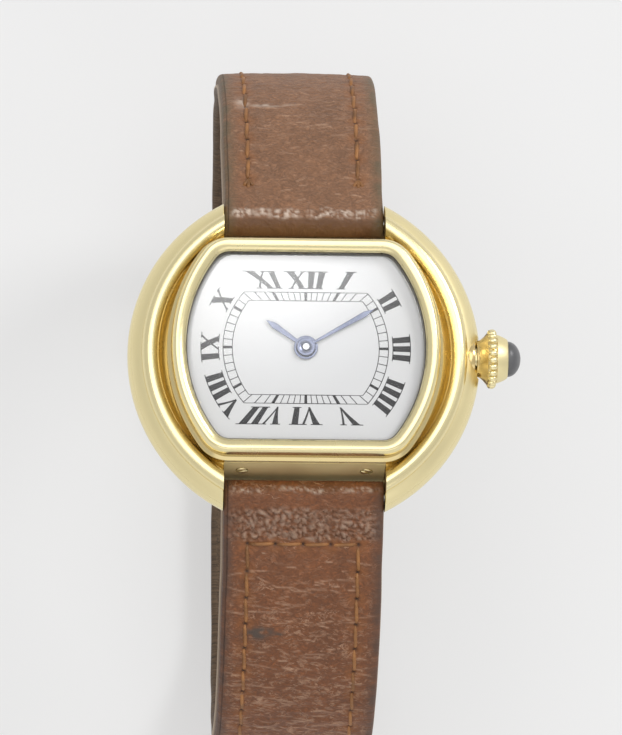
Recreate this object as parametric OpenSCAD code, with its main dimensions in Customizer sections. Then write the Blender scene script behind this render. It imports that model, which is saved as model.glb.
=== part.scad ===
// Lady's wristwatch with a rounded case, a truncated oval dial opening and a closed leather strap.
// Frame: the dial faces +Z, twelve o'clock is +Y, the crown is +X, the strap loop hangs below.
// Origin: the centre of the flat face of the case back.

/* [Case] */
// Radius of the case at its widest
case_r = 14.2; // [13.6:0.1:15]
// Height of the widest line of the case above the back
case_belly_z = 2.6; // [2.2:0.1:3]
// Radius of the round tube that crowns the case side
upper_tube_r = 0.7; // [0.5:0.05:0.8]
// Height of the groove floor between the bezel and the tube
groove_z = 4.2; // [3.9:0.1:4.4]
// Height of the shoulder that carries the bezel
shoulder_z = 5.2; // [5:0.1:5.4]
// Thickness of the case back's outer disc
back_t = 0.5; // [0.4:0.05:0.7]
// Radius of the case back
back_r = 9.2; // [9:0.1:9.4]
// Radius of the raised plug of the case back
back_plug_r = 8.6; // [8.3:0.1:8.8]
// Height of the case back's inner rim above its outer face
back_rim_z = 1.2; // [1.1:0.05:1.3]

/* [Dial opening] */
// Half width of the dial opening
open_half_w = 9.6; // [9.4:0.1:9.8]
// Half height of the dial opening, at its straight top and bottom
open_half_h = 7.7; // [7.6:0.1:7.8]
// Radius of the round sides of the dial opening
open_side_r = 12; // [11.6:0.1:12.4]
// Radius of the four corners of the dial opening
open_corner_r = 1.4; // [1.2:0.1:1.6]

/* [Bezel and crystal] */
// Width of the half-round part of the bezel
bezel_w = 1.2; // [1.1:0.05:1.3]
// Width of the bezel with its lower ledge
ledge_w = 1.5; // [1.4:0.05:1.6]
// Height of the bezel's crest above its seat
bezel_h = 2.15; // [2:0.05:2.4]
// Height of the bezel's thin lower ledge
ledge_h = 0.45; // [0.3:0.05:0.6]
// Thickness of the crystal
crystal_t = 0.45; // [0.4:0.05:0.5]
// Thickness of the crystal gasket
gasket_t = 0.15; // [0.1:0.05:0.2]

/* [Dial and hands] */
// Thickness of the dial
dial_t = 0.4; // [0.3:0.05:0.45]
// Height of the dial's face above the case back's outer face
dial_z = 5.9; // [5.8:0.05:6]
// Length of the minute hand from the centre
minute_len = 6.3; // [5.8:0.1:6.5]
// Length of the hour hand from the centre
hour_len = 3.9; // [3.6:0.1:4.4]
// Widest part of the minute hand
minute_w = 0.45; // [0.35:0.05:0.5]
// Widest part of the hour hand
hour_w = 0.38; // [0.3:0.02:0.5]
// Thickness of each hand
hand_t = 0.12; // [0.1:0.01:0.14]
// Hour shown
show_hour = 10; // [0:1:11]
// Minute shown
show_minute = 10; // [0:1:59]

/* [Crown] */
// Height of the crown's axis
crown_z = 2.8; // [2.7:0.05:2.9]
// Radius of the beaded ring of the crown
crown_r = 2.4; // [2.2:0.1:2.5]
// Number of beads round the crown
bead_count = 24; // [20:1:28]
// Radius of the cabochon
cabochon_r = 1.45; // [1.3:0.05:1.6]
// Height of the cabochon's dome
cabochon_h = 1.07; // [0.8:0.05:1.3]
// Radius of the winding stem
stem_r = 0.45; // [0.4:0.01:0.48]
// How far the crown pulls out to set the hands
crown_pull = 0.8; // [0.6:0.1:1]

/* [Movement] */
// Radius of the movement
move_r = 7.4; // [7.3:0.05:7.45]
// Height of the underside of the main plate's web
plate_z = 3.8; // [3.7:0.05:3.85]
// Depth of the recess for the motion work
motion_depth = 0.6; // [0.55:0.01:0.65]
// Thickness of the movement bridges
bridge_t = 0.6; // [0.5:0.05:0.65]

/* [Strap] */
// Width of the slot between the horns
slot_w = 13; // [12.8:0.1:13.2]
// Width of the strap at the buckle
strap_end_w = 11.4; // [11:0.1:11.8]
// Thickness of the strap at its ends
strap_t = 1.6; // [1.4:0.05:1.7]
// Radius of the rolled strap end on the case bar
roll_r = 1.3; // [1.2:0.05:1.35]
// Height of the case bars
bar_z = 1.9; // [1.8:0.05:2]
// Half width of the closed loop along twelve to six
loop_half = 27.5; // [27:0.1:28]
// Height of the loop's widest line below the back
loop_mid = 17.25; // [17:0.05:17.5]
// Depth of the loop's foot below its widest line
loop_drop = 20; // [19:0.1:21]
// Half length of the flat foot of the loop
foot_half = 11; // [10.8:0.1:12]

/* [Buckle] */
// Place of the buckle bar along twelve to six
buckle_y = 8; // [7.8:0.1:8.2]
// Length of the buckle from its bar to its front bar
buckle_len = 8.2; // [8:0.1:8.6]
// Thickness of the buckle's side arms
arm_t = 1; // [0.8:0.1:1.2]
// Radius of the buckle bar
buckle_bar_r = 0.45; // [0.4:0.01:0.48]
// Height of the buckle's front bar
front_h = 1.2; // [1.1:0.05:1.3]
// Width of the tongue
tongue_w = 1; // [0.8:0.1:1.1]
// Thickness of the tongue
tongue_t = 0.5; // [0.4:0.05:0.6]
// Width of each keeper along the strap
keeper_w = 3; // [2.6:0.1:3.2]
// Number of spare holes in the strap
spare_holes = 3; // [0:1:3]
// Distance between the holes in the strap
hole_pitch = 5.5; // [5:0.1:5.6]

/* [Hidden] */
$fn = 64;
// Clearance of pressed, snapped and seated parts
fit = 0.02;
// Clearance of parts that turn or slide
run = 0.05;
// Clearance of leather beside metal
slack = 0.1;
// How far neighbouring arcs of the bezel run into each other, in degrees
seam_deg = 0.2;

flank_r = 2.2;
belly_r = 1.3;
tube_inset = 1.8;
groove_w = 0.1;
groove_slope = 0.7;
groove_rise = 0.55;
wall_drop = 0.8;
wall_foot_z = 1.5;
wall_slope = 0.7;
screw_inset = 1.5;
screw_rise = 1.7;
screw_head_r = 0.5;
screw_head_h = 0.25;
screw_shank_r = 0.28;
screw_shank_h = 1.4;
bar_r = 0.7;
bar_pin_r = 0.35;
bar_pin_in = 0.85;
tube_r = 1;

open_side_x = open_half_w - open_side_r;
corner_y = open_half_h - open_corner_r;
corner_reach = open_side_r - open_corner_r;
corner_x = open_side_x + sqrt(pow(corner_reach, 2) - pow(corner_y, 2));
corner_deg = atan2(corner_y, corner_x - open_side_x);

upper_tube_x = case_r - tube_inset;
upper_tube_z = shoulder_z - 0.85;
wall_w = 0.12;
wall_outer = 0.55;
wall_y = open_half_h + ledge_w;
wall_top_z = shoulder_z - wall_drop;
bar_y = wall_y + wall_slope + roll_r + slack;
screw_x = slot_w / 2 - screw_inset;
screw_z = wall_foot_z + screw_rise;
screw_y = wall_y + wall_slope * (wall_top_z - screw_z) / (wall_top_z - wall_foot_z);
lip_w = wall_outer + fit;
gasket_z = dial_z + 0.15;
flange_z = gasket_z + gasket_t;
lip_z = flange_z + 0.4;
crest_z = shoulder_z + bezel_h;
crystal_top = lip_z + crystal_t;
dial_bottom = dial_z - dial_t;
plate_top = dial_bottom;
recess_z = plate_top - motion_depth;
bridge_top = back_rim_z + 0.8;
bore_r = move_r + 0.1;
storey = (plate_z - bridge_top) / 18;
pivot_low = bridge_top - bridge_t + 0.05;
pivot_high = plate_z + 0.35;
recess_r = 4.3;

minute_deg = show_minute * 6;
hour_deg = (show_hour + show_minute / 60) * 30;
motion_mod = 0.09;
cannon_teeth = 12;
minute_teeth = 36;
hour_pinion_teeth = 10;
hour_teeth = 40;
motion_dist = motion_mod * (cannon_teeth + minute_teeth) / 2;
hour_mod = 2 * motion_dist / (hour_pinion_teeth + hour_teeth);
motion_deg = 235;
post_r = 0.14;
bridge_screw_r = 0.2;
bridge_head_r = 0.38;
cannon_r = 0.26;
hour_tube_r = 0.5;
hour_hand_z = dial_z + 0.14;
minute_hand_z = hour_hand_z + hand_t + 0.14;
shoulder = 0.65;

strap_w = slot_w - 2 * slack;
loop_rise = (bar_z + loop_mid) / sqrt(1 - pow(bar_y / loop_half, 2));
layer_gap = strap_t + 0.15;
inner_z = -loop_mid - loop_drop;
tail_z = inner_z - layer_gap;
tail_face = tail_z - strap_t / 2;
floor_z = tail_face - slack - front_h;
front_y = buckle_y - buckle_len;
arm_x = strap_end_w / 2 + 3.5 * slack;
hole_y = buckle_y - 1.65;
hole_half = 0.9;
spare_hole_r = 0.5;
eye_r = 0.8;
keeper_in_w = strap_end_w + 2 * slack;
keeper_top = inner_z + strap_t / 2 + slack;
keeper_in_h = keeper_top - tail_face + slack;
keeper_wall = front_h;
keeper_gap = 0.6;
fixed_keeper_y = buckle_y + eye_r + keeper_gap + keeper_w / 2;
bend_room = 0.15;
free_keeper_deg = -76;
free_keeper_at = [foot_half + (loop_half - foot_half + layer_gap / 2) * cos(free_keeper_deg),
    -loop_mid + (loop_drop + layer_gap / 2) * sin(free_keeper_deg)];
free_keeper_tilt = atan2(-(loop_drop + layer_gap / 2) * cos(free_keeper_deg),
    (loop_half - foot_half + layer_gap / 2) * sin(free_keeper_deg)) + 180;
tail_end_deg = 54;
crown_seat = case_r - 0.3;
neck_len = 0.86;
neck_r = 1.5;
tube_stick = 0.33;
bead_w = 0.71;
bead_ball_r = 0.27;
cup_len = 0.92;
cup_floor = 0.7;
crown_base = crown_seat + run;
bead_x = crown_seat + neck_len;
cup_x = bead_x + bead_w;
cabochon_x = cup_x + cup_len;
clutch_x = 2.9;
clutch_len = 1.2;
clutch_teeth = 14;
clutch_mod = 0.1;
pinion_x = clutch_x + clutch_len + 0.1;
pinion_len = 0.8;
square_half = 0.3;

// Going train, sized from the room inside the plate's rim
room_r = move_r - 0.8;
unit = room_r / 66;
barrel_teeth = 60;
centre_leaves = 10;
centre_teeth = 64;
third_leaves = 8;
third_teeth = 60;
fourth_leaves = 8;
fourth_teeth = 70;
escape_leaves = 7;
escape_teeth = 15;
barrel_mod = 0.95 * unit;
centre_mod = 0.8 * unit;
third_mod = 0.7 * unit;
fourth_mod = 0.6 * unit;
barrel_deg = 75;
third_deg = 200.3;
fourth_deg = -70;
escape_deg = -20;
balance_deg = -40;
barrel_at = polar(barrel_mod * (barrel_teeth + centre_leaves) / 2, barrel_deg);
third_at = polar(centre_mod * (centre_teeth + third_leaves) / 2, third_deg);
fourth_at = third_at + polar(third_mod * (third_teeth + fourth_leaves) / 2, fourth_deg);
escape_at = fourth_at + polar(fourth_mod * (fourth_teeth + escape_leaves) / 2, escape_deg);
balance_at = polar(45 * unit, balance_deg);
escape_r = 13 * unit;
balance_r = 19 * unit;
lever_way = balance_at - escape_at;
lever_deg = atan2(lever_way[1], lever_way[0]);
pallet_at = escape_at + polar(escape_r / cos(30), lever_deg);
lever_len = norm(balance_at - pallet_at);
roller_r = 0.42;
pivot_r = 0.09;
arbor_r = 0.13;
lever_z = level(14);
lever_t = 1.2 * storey;
balance_z = level(8);
pallet_bridge_z = level(11.2);
pallet_bridge_t = 2 * storey;
pillar_r = 0.7;
pillar_degs = [157, 23, 200, 265, -8];
pillar_reach = room_r + 0.12;
bridge_screw_reach = room_r - 0.4;

gold = "#d9b950";
leather = "#8f5a3c";
steel = "#c8ccd0";
brass = "#c9a95a";

// Shapes that repeat

// A point at a distance and an angle from the centre
function polar(r, a) = [r * cos(a), r * sin(a)];

// Height of a storey between the bridges and the plate
function level(n) = bridge_top + n * storey;

// Moves a piece to a place in plan, at a height
module at(place, z = 0) {
    translate([place[0], place[1], z]) children();
}

// Points of an arc round a centre, from one angle to another
function arc(cx, cy, rx, ry, from, to, n) =
    [for (i = [0:n]) let (a = from + (to - from) * i / n) [cx + rx * cos(a), cy + ry * sin(a)]];

// The dial opening's outline grown by a distance, as a flat shape
module oval(grow) {
    side = open_side_r + grow;
    corner = open_corner_r + grow;
    right = concat(arc(open_side_x, 0, side, side, -corner_deg, corner_deg, 36),
        arc(corner_x, corner_y, corner, corner, corner_deg, 90, 8));
    left = [for (p = right) [-p[0], -p[1]]];
    low = arc(corner_x, -corner_y, corner, corner, -90, -corner_deg, 8);
    polygon(concat(low, right, [for (p = low) [-p[0], -p[1]]], left));
}

// Carries a flat profile round the dial opening: its x is the distance outward, its y the height
module along_oval() {
    for (s = [0, 180]) {
        rotate(s) translate([-corner_x, open_half_h, 0]) rotate([90, 0, 90])
            linear_extrude(2 * corner_x) children();
        rotate(s) translate([open_side_x, 0, 0]) rotate(-corner_deg)
            rotate_extrude(angle = 2 * corner_deg, $fn = 96) translate([open_side_r, 0]) children();
        rotate(s) translate([corner_x, corner_y, 0]) rotate(corner_deg - seam_deg)
            rotate_extrude(angle = 90 + 2 * seam_deg - corner_deg, $fn = 48)
            translate([open_corner_r, 0]) children();
        rotate(s) translate([corner_x, -corner_y, 0]) rotate(-90 - seam_deg)
            rotate_extrude(angle = 90 + 2 * seam_deg - corner_deg, $fn = 48)
            translate([open_corner_r, 0]) children();
    }
}

// A flat ring between two distances from the dial opening
module oval_ring(low, high, z, h) {
    translate([0, 0, z]) linear_extrude(h) difference() {
        oval(high);
        oval(low);
    }
}

// Outline of a toothed wheel with straight flanks
module tooth_outline(teeth, m) {
    r = teeth * m / 2;
    step = 360 / teeth;
    polygon([for (i = [0:teeth - 1], c = [[-0.3, -1.2], [-0.12, 0.85], [0.12, 0.85], [0.3, -1.2]])
        polar(r + c[1] * m, (i + c[0]) * step)]);
}

// A toothed wheel or pinion
module gear(teeth, m, h, bore = 0) {
    linear_extrude(h) difference() {
        tooth_outline(teeth, m);
        if (bore > 0) circle(bore);
    }
}

// A toothed wheel with its web cut away to spokes
module spoked(teeth, m, h, spokes) {
    rim = teeth * m / 2 - 3 * m;
    hub = 0.36;
    linear_extrude(h) difference() {
        tooth_outline(teeth, m);
        difference() {
            circle(rim);
            circle(hub);
            for (i = [0:spokes - 1]) {
                rotate(i * 360 / spokes) translate([0, -hub / 3]) square([rim + m, 2 * hub / 3]);
            }
        }
    }
}

// An arbor between the plate and its bridge, with a pivot at each end
module arbor(r, low, high) {
    translate([0, 0, low]) cylinder(h = high - low, r = r, $fn = 24);
    translate([0, 0, pivot_low]) cylinder(h = pivot_high - pivot_low, r = pivot_r, $fn = 24);
}

// A band of rectangular section with round corners, along Y
module band(w, h, wall, len) {
    r = wall;
    rotate([90, 0, 0]) translate([0, 0, -len / 2]) linear_extrude(len) difference() {
        union() {
            square([w + 2 * wall - 2 * r, h + 2 * wall], center = true);
            square([w + 2 * wall, h + 2 * wall - 2 * r], center = true);
            for (x = [-1, 1], y = [-1, 1]) {
                translate([x * (w / 2 + wall - r), y * (h / 2 + wall - r)]) circle(r);
            }
        }
        square([w, h], center = true);
    }
}

// Side view of one strap half: a list of [y, z, how far along from 0 to 1]
function strap_side(sign, drop, flat_end) =
    let (start = acos(bar_y / loop_half),
        high = [for (i = [0:11]) let (a = start * (1 - i / 11))
            [sign * loop_half * cos(a), -loop_mid + loop_rise * sin(a)]],
        low = [for (i = [1:14]) let (a = -90 * i / 14)
            [sign * (foot_half + (loop_half - foot_half) * cos(a)), -loop_mid + drop * sin(a)]],
        flat = [for (i = [1:3]) [sign * foot_half + (flat_end - sign * foot_half) * i / 3, -loop_mid - drop]])
    concat(high, low, flat);

// Unit tangent at point i of a side view
function tangent(side, i) =
    let (a = side[max(i - 1, 0)], b = side[min(i + 1, len(side) - 1)], d = b - a)
    d / norm(d);

// Ring of the strap's section at one point of its side view
function strap_ring(p, t, w, h, bend) =
    let (n = [t[1], -t[0]] * bend, c = min(0.3, h / 3), crown = 0.13 * (h - strap_t),
        flat = [[-w / 2 + c, h / 2], [-w / 4, h / 2 + crown], [w / 4, h / 2 + crown], [w / 2 - c, h / 2],
            [w / 2, h / 2 - c], [w / 2, c - h / 2], [w / 2 - c, -h / 2], [c - w / 2, -h / 2],
            [-w / 2, c - h / 2], [-w / 2, h / 2 - c]],
        last = len(flat) - 1)
    [for (i = [0:last]) let (q = flat[bend > 0 ? i : last - i])
        [q[0], p[0] + n[0] * q[1], p[1] + n[1] * q[1]]];

// A closed solid through rings of equal length
module skin(rings) {
    n = len(rings[0]);
    last = len(rings) - 1;
    points = [for (r = rings) for (p = r) p];
    sides = [for (i = [0:last - 1], j = [0:n - 1])
        let (k = (j + 1) % n, a = i * n + j, b = i * n + k, c = (i + 1) * n + k, d = (i + 1) * n + j)
        each [[a, b, c], [a, c, d]]];
    first_cap = [for (j = [n - 1:-1:0]) j];
    last_cap = [for (j = [0:n - 1]) last * n + j];
    polyhedron(points, concat(sides, [first_cap, last_cap]), convexity = 10);
}

// Width and thickness of the strap along its length, from 0 at the case to 1 at the foot
function strap_width(s) = strap_w + (strap_end_w - strap_w) * min(max(s - 0.4, 0) / 0.45, 1);
function strap_thick(s) = strap_t + (2 * roll_r - 0.06 - strap_t) * pow(max(1 - s / 0.45, 0), 2);

// Case

module case_middle() {
    profile = concat(
        [[bore_r, back_rim_z + fit], [back_plug_r + fit, back_rim_z + fit], [back_plug_r + fit, back_t]],
        arc(case_r - flank_r, case_belly_z, flank_r, case_belly_z - back_t, -90, 0, 16),
        arc(case_r - belly_r, case_belly_z, belly_r, belly_r, 0, 80, 12),
        arc(upper_tube_x, upper_tube_z, upper_tube_r, upper_tube_r, -20, 200, 24),
        [[upper_tube_x - upper_tube_r - groove_w, groove_z],
            [upper_tube_x - upper_tube_r - groove_w - groove_slope, groove_z + groove_rise],
            [bore_r, groove_z + groove_rise]]);
    color(gold) difference() {
        union() {
            rotate_extrude($fn = 128) polygon(profile);
            translate([0, 0, groove_z - 0.4]) linear_extrude(shoulder_z - groove_z + 0.4) oval(ledge_w - fit);
            translate([0, 0, groove_z - 0.4]) linear_extrude(gasket_z - groove_z + 0.4) oval(wall_outer);
        }
        translate([0, 0, back_t]) cylinder(h = dial_z, r = bore_r, $fn = 96);
        translate([0, 0, dial_bottom]) linear_extrude(dial_z) oval(wall_w);
        for (s = [0, 180]) {
            rotate(s) rotate([90, 0, 90]) translate([0, 0, -slot_w / 2]) linear_extrude(slot_w)
                polygon([[wall_y, wall_top_z], [wall_y + wall_slope, wall_foot_z],
                    [wall_y + wall_slope, -back_t], [case_r + back_t, -back_t],
                    [case_r + back_t, crest_z], [wall_y, crest_z]]);
            rotate(s) translate([0, bar_y, bar_z]) rotate([0, 90, 0])
                cylinder(h = slot_w + 2 * bar_pin_in, r = bar_pin_r + fit, center = true);
            rotate(s) for (x = [-screw_x, screw_x]) {
                translate([x, screw_y - screw_head_h, screw_z]) rotate([-90, 0, 0])
                    cylinder(h = screw_head_h + wall_slope, r = screw_head_r + fit);
                translate([x, screw_y, screw_z]) rotate([90, 0, 0])
                    cylinder(h = screw_shank_h + fit, r = screw_shank_r + fit);
            }
        }
        translate([bore_r - tube_r, 0, crown_z]) rotate([0, 90, 0])
            cylinder(h = case_r - bore_r + 2 * tube_r, r = tube_r);
        translate([crown_seat, 0, crown_z]) rotate([0, 90, 0]) cylinder(h = tube_r, r = neck_r + 2 * slack);
    }
}

module bezel() {
    top = concat([[0, lip_z], [0, crest_z - 0.4]], arc(0.5, crest_z - 0.4, 0.5, 0.4, 180, 90, 8),
        arc(0.5, crest_z - 1, bezel_w - 0.5, 1, 90, 0, 14));
    foot = concat([[bezel_w, shoulder_z + ledge_h]],
        [[ledge_w, shoulder_z + ledge_h / 2], [ledge_w, shoulder_z], [lip_w, shoulder_z], [lip_w, lip_z]]);
    color(gold) along_oval() polygon(concat(top, foot));
}

module crystal() {
    color("#dfeaf0") difference() {
        union() {
            translate([0, 0, flange_z]) linear_extrude(lip_z - flange_z) oval(wall_outer - 0.05);
            translate([0, 0, flange_z]) linear_extrude(crystal_top - flange_z) oval(-0.04);
        }
        translate([0, 0, flange_z - 1]) linear_extrude(lip_z - flange_z + 0.95) oval(-0.7);
    }
}

module crystal_gasket() {
    color("#e8e8e0") oval_ring(wall_w, wall_outer, gasket_z, gasket_t);
}

module case_back() {
    color(gold) difference() {
        union() {
            translate([0, 0, 0.2]) cylinder(h = back_t - 0.2, r = back_r, $fn = 96);
            cylinder(h = 0.2, r1 = back_r - 0.2, r2 = back_r, $fn = 96);
            cylinder(h = back_rim_z, r = back_plug_r, $fn = 96);
        }
        translate([0, 0, back_t + 0.1]) cylinder(h = 2, r = move_r - 0.8, $fn = 96);
        rotate_extrude($fn = 96) translate([back_plug_r - 0.25, back_t + 0.1]) square([1, 0.3]);
        translate([0, 1 - back_r, 0]) rotate([90, 0, 0]) linear_extrude(2)
            polygon([[-1.2, -0.01], [1.2, -0.01], [1.2, 0.18], [-1.2, 0.18]]);
    }
}

module case_back_gasket() {
    color("#404040") rotate_extrude($fn = 96)
        translate([back_plug_r - 0.25 + fit, back_t + 0.1 + fit]) square([0.25 - fit, 0.3 - 2 * fit]);
}

module strap_bar(side) {
    color(steel) translate([0, side * bar_y, bar_z]) rotate([0, 90, 0]) {
        cylinder(h = strap_w, r = bar_r, center = true);
        cylinder(h = slot_w + 2 * bar_pin_in - 2 * run, r = bar_pin_r, center = true);
    }
}

module strap_bar_upper() {
    strap_bar(1);
}

module strap_bar_lower() {
    strap_bar(-1);
}

module end_screws() {
    color(gold) for (s = [0, 180], x = [-1, 1]) {
        rotate(s) translate([x * screw_x, screw_y, screw_z]) rotate([90, 0, 0]) difference() {
            union() {
                cylinder(h = screw_head_h, r = screw_head_r);
                cylinder(h = screw_shank_h, r = screw_shank_r);
            }
            cube([2 * screw_head_r + 1, screw_head_r / 4, screw_head_h], center = true);
        }
    }
}

module crown_tube() {
    color(steel) translate([bore_r + 0.1, 0, crown_z]) rotate([0, 90, 0]) difference() {
        cylinder(h = bead_x + tube_stick - bore_r - 0.1 - run, r = tube_r - fit);
        translate([0, 0, -1]) cylinder(h = case_r, r = stem_r + run);
    }
}

// Dial and hands

module dial() {
    color("#f4f4f2") difference() {
        translate([0, 0, dial_bottom]) linear_extrude(dial_t) oval(wall_w - 2 * fit);
        translate([0, 0, dial_bottom - 1]) cylinder(h = 3, r = hour_tube_r + 0.1);
    }
}

module hand(turn, z, len, hub, w, neck, bore) {
    color("#3a4f8c") rotate(-turn) translate([0, 0, z]) difference() {
        union() {
            cylinder(h = hand_t, r = hub);
            linear_extrude(hand_t)
                polygon([[-neck, hub / 2], [-w / 2, len - shoulder], [0, len], [w / 2, len - shoulder],
                    [neck, hub / 2]]);
        }
        translate([0, 0, -1]) cylinder(h = 2, r = bore);
    }
}

module hour_hand() {
    hand(hour_deg, hour_hand_z, hour_len, 0.96, hour_w, 0.13, hour_tube_r);
}

module minute_hand() {
    hand(minute_deg, minute_hand_z, minute_len, 0.73, minute_w, 0.1, cannon_r);
}

module cannon_pinion() {
    color(steel) {
        translate([0, 0, recess_z + 0.05]) gear(cannon_teeth, motion_mod, 0.22);
        translate([0, 0, plate_z]) cylinder(h = minute_hand_z + hand_t + 0.04 - plate_z, r = cannon_r);
    }
}

module hour_wheel() {
    color(brass) {
        translate([0, 0, recess_z + 0.36]) gear(hour_teeth, hour_mod, 0.14, cannon_r + run);
        translate([0, 0, recess_z + 0.36]) difference() {
            cylinder(h = hour_hand_z + hand_t - recess_z - 0.36, r = hour_tube_r);
            translate([0, 0, -1]) cylinder(h = 4, r = cannon_r + run);
        }
    }
}

module minute_wheel() {
    color(brass) rotate(motion_deg) translate([motion_dist, 0, recess_z + 0.06]) {
        rotate(180 / minute_teeth + 180) gear(minute_teeth, motion_mod, 0.16);
        translate([0, 0, 0.16]) gear(hour_pinion_teeth, hour_mod, 0.3);
        translate([0, 0, -0.5]) cylinder(h = 0.6, r = post_r, $fn = 24);
    }
}

// Crown and stem

module crown() {
    seat_x = cup_x + cup_floor;
    socket_x = bead_x + tube_stick;
    socket_r = tube_r + run;
    profile = concat([[stem_r, socket_x], [stem_r, seat_x - 0.1], [0, seat_x - 0.1], [0, seat_x],
        [cabochon_r, seat_x], [cabochon_r, cabochon_x], [cabochon_r + 0.06, cabochon_x]],
        [[cabochon_r + 0.14, cabochon_x - 0.08], [crown_r - 0.45, cup_x + 0.12], [crown_r - 0.4, cup_x]],
        [[crown_r - 0.25, cup_x], [crown_r - 0.25, bead_x]],
        [for (i = [8:-1:0]) [neck_r + (crown_r - 0.25 - neck_r) * pow(i / 8, 1.4),
            crown_base + (bead_x - crown_base) * i / 8]],
        [[socket_r, crown_base], [socket_r, socket_x]]);
    color(gold) translate([0, 0, crown_z]) {
        rotate([0, 90, 0]) rotate_extrude() polygon(profile);
        for (i = [0:bead_count - 1]) {
            rotate([i * 360 / bead_count, 0, 0]) translate([(bead_x + cup_x) / 2, 0, crown_r - bead_ball_r])
                sphere(bead_ball_r, $fn = 16);
        }
    }
}

module crown_cabochon() {
    color("#30343c") translate([cup_x + cup_floor, 0, crown_z]) rotate([0, 90, 0]) rotate_extrude()
        polygon(concat([[0, 0], [cabochon_r - fit, 0]],
            arc(0, cup_len - cup_floor, cabochon_r - fit, cabochon_h, 0, 90, 14)));
}

module winding_stem() {
    color(steel) translate([0, 0, crown_z]) {
        rotate([0, 90, 0]) translate([0, 0, pinion_x])
            cylinder(h = cup_x + cup_floor - 0.1 - pinion_x, r = stem_r);
        translate([clutch_x - 0.5, -square_half, -square_half])
            cube([pinion_x - clutch_x + 0.6, 2 * square_half, 2 * square_half]);
        rotate([0, 90, 0]) translate([0, 0, clutch_x - 0.9]) cylinder(h = 0.5, r = square_half - 0.1);
    }
}

module sliding_clutch() {
    color(steel) translate([clutch_x, 0, crown_z]) rotate([90, 0, 90]) difference() {
        union() {
            gear(clutch_teeth, clutch_mod, clutch_len / 3);
            cylinder(h = clutch_len, r = 0.55);
            translate([0, 0, 2 * clutch_len / 3]) gear(clutch_teeth, clutch_mod, clutch_len / 3);
        }
        cube([2 * square_half + 2 * fit, 2 * square_half + 2 * fit, 4 * clutch_len], center = true);
    }
}

module winding_pinion() {
    color(steel) translate([pinion_x, 0, crown_z]) rotate([90, 0, 90])
        gear(clutch_teeth, clutch_mod, pinion_len, stem_r + run);
}

// Movement

module main_plate() {
    color(brass) difference() {
        translate([0, 0, bridge_top]) cylinder(h = plate_top - bridge_top, r = move_r, $fn = 96);
        translate([0, 0, recess_z]) cylinder(h = 2, r = recess_r);
        cylinder(h = plate_top, r = cannon_r + run);
        difference() {
            cylinder(h = plate_z, r = room_r, $fn = 96);
            for (a = pillar_degs) {
                at(polar(pillar_reach, a)) cylinder(h = plate_z + 1, r = pillar_r, $fn = 32);
            }
        }
        rotate(motion_deg) translate([motion_dist, 0, recess_z - 0.6])
            cylinder(h = 2, r = post_r + run, $fn = 24);
        rotate([0, 90, 0]) translate([-crown_z, 0, pinion_x]) cylinder(h = move_r, r = stem_r + run);
        for (p = [barrel_at, third_at, fourth_at, escape_at, pallet_at, balance_at]) {
            at(p, plate_z - 1) cylinder(h = 1.4, r = pivot_r + run, $fn = 24);
        }
        for (a = pillar_degs) {
            at(polar(bridge_screw_reach, a))
                cylinder(h = bridge_top + 0.7, r = bridge_screw_r + fit, $fn = 24);
        }
    }
}

// Half of the round bridge plate, with holes for its screws and for the pivots under it
module bridge(side, places) {
    translate([0, 0, bridge_top - bridge_t]) difference() {
        linear_extrude(bridge_t) intersection() {
            circle(room_r + run, $fn = 96);
            translate([-move_r, side > 0 ? slack : -slack - move_r]) square([2 * move_r, move_r]);
        }
        for (p = places) at(p, -1) cylinder(h = 3, r = pivot_r + run, $fn = 24);
        for (a = pillar_degs) {
            at(polar(bridge_screw_reach, a), -1) cylinder(h = 3, r = bridge_screw_r + fit, $fn = 24);
        }
        children();
    }
}

module barrel_bridge() {
    color(brass) bridge(1, [barrel_at]);
}

module train_bridge() {
    color(brass) bridge(-1, [third_at, fourth_at, escape_at, balance_at]) difference() {
        at(balance_at, -1) cylinder(h = 3, r = balance_r - 0.1, $fn = 64);
        at(balance_at, -1) rotate(balance_deg + 90) linear_extrude(3) union() {
            circle(0.8);
            square([5 * balance_r, 1], center = true);
        }
    }
}

module bridge_screws() {
    color(steel) for (a = pillar_degs) {
        at(polar(bridge_screw_reach, a), bridge_top - bridge_t - 0.12) difference() {
            union() {
                cylinder(h = 0.12, r = bridge_head_r, $fn = 32);
                cylinder(h = bridge_t + 0.6, r = bridge_screw_r, $fn = 24);
            }
            cube([1, 0.1, 0.12], center = true);
        }
    }
}

module movement_ring() {
    color(brass) translate([0, 0, back_rim_z]) difference() {
        cylinder(h = bridge_top - back_rim_z, r = move_r, $fn = 96);
        translate([0, 0, -1]) cylinder(h = 3, r = move_r - 0.7, $fn = 96);
    }
}

// Going train and escapement

module barrel() {
    drum_r = barrel_mod * barrel_teeth / 2 - 0.25;
    color(brass) at(barrel_at) {
        difference() {
            union() {
                at([0, 0], level(2)) rotate(barrel_deg + 180 - 180 / barrel_teeth)
                    gear(barrel_teeth, barrel_mod, 3 * storey);
                at([0, 0], level(2)) cylinder(h = 10 * storey, r = drum_r);
            }
            at([0, 0], level(4)) difference() {
                cylinder(h = 7 * storey, r = drum_r - wall_w);
                cylinder(h = 7 * storey, r = drum_r / 4);
            }
        }
        arbor(0.35, level(0.5), level(17.5));
    }
}

module centre_wheel() {
    color(brass) {
        at([0, 0], level(13)) rotate(third_deg) spoked(centre_teeth, centre_mod, 2 * storey, 5);
        at([0, 0], level(1.5)) rotate(barrel_deg) gear(centre_leaves, barrel_mod, 10 * storey);
        difference() {
            at([0, 0], level(0.5)) cylinder(h = 17 * storey, r = 0.3);
            at([0, 0], plate_z - 0.15) cylinder(h = 1, r = cannon_r);
        }
    }
}

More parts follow.
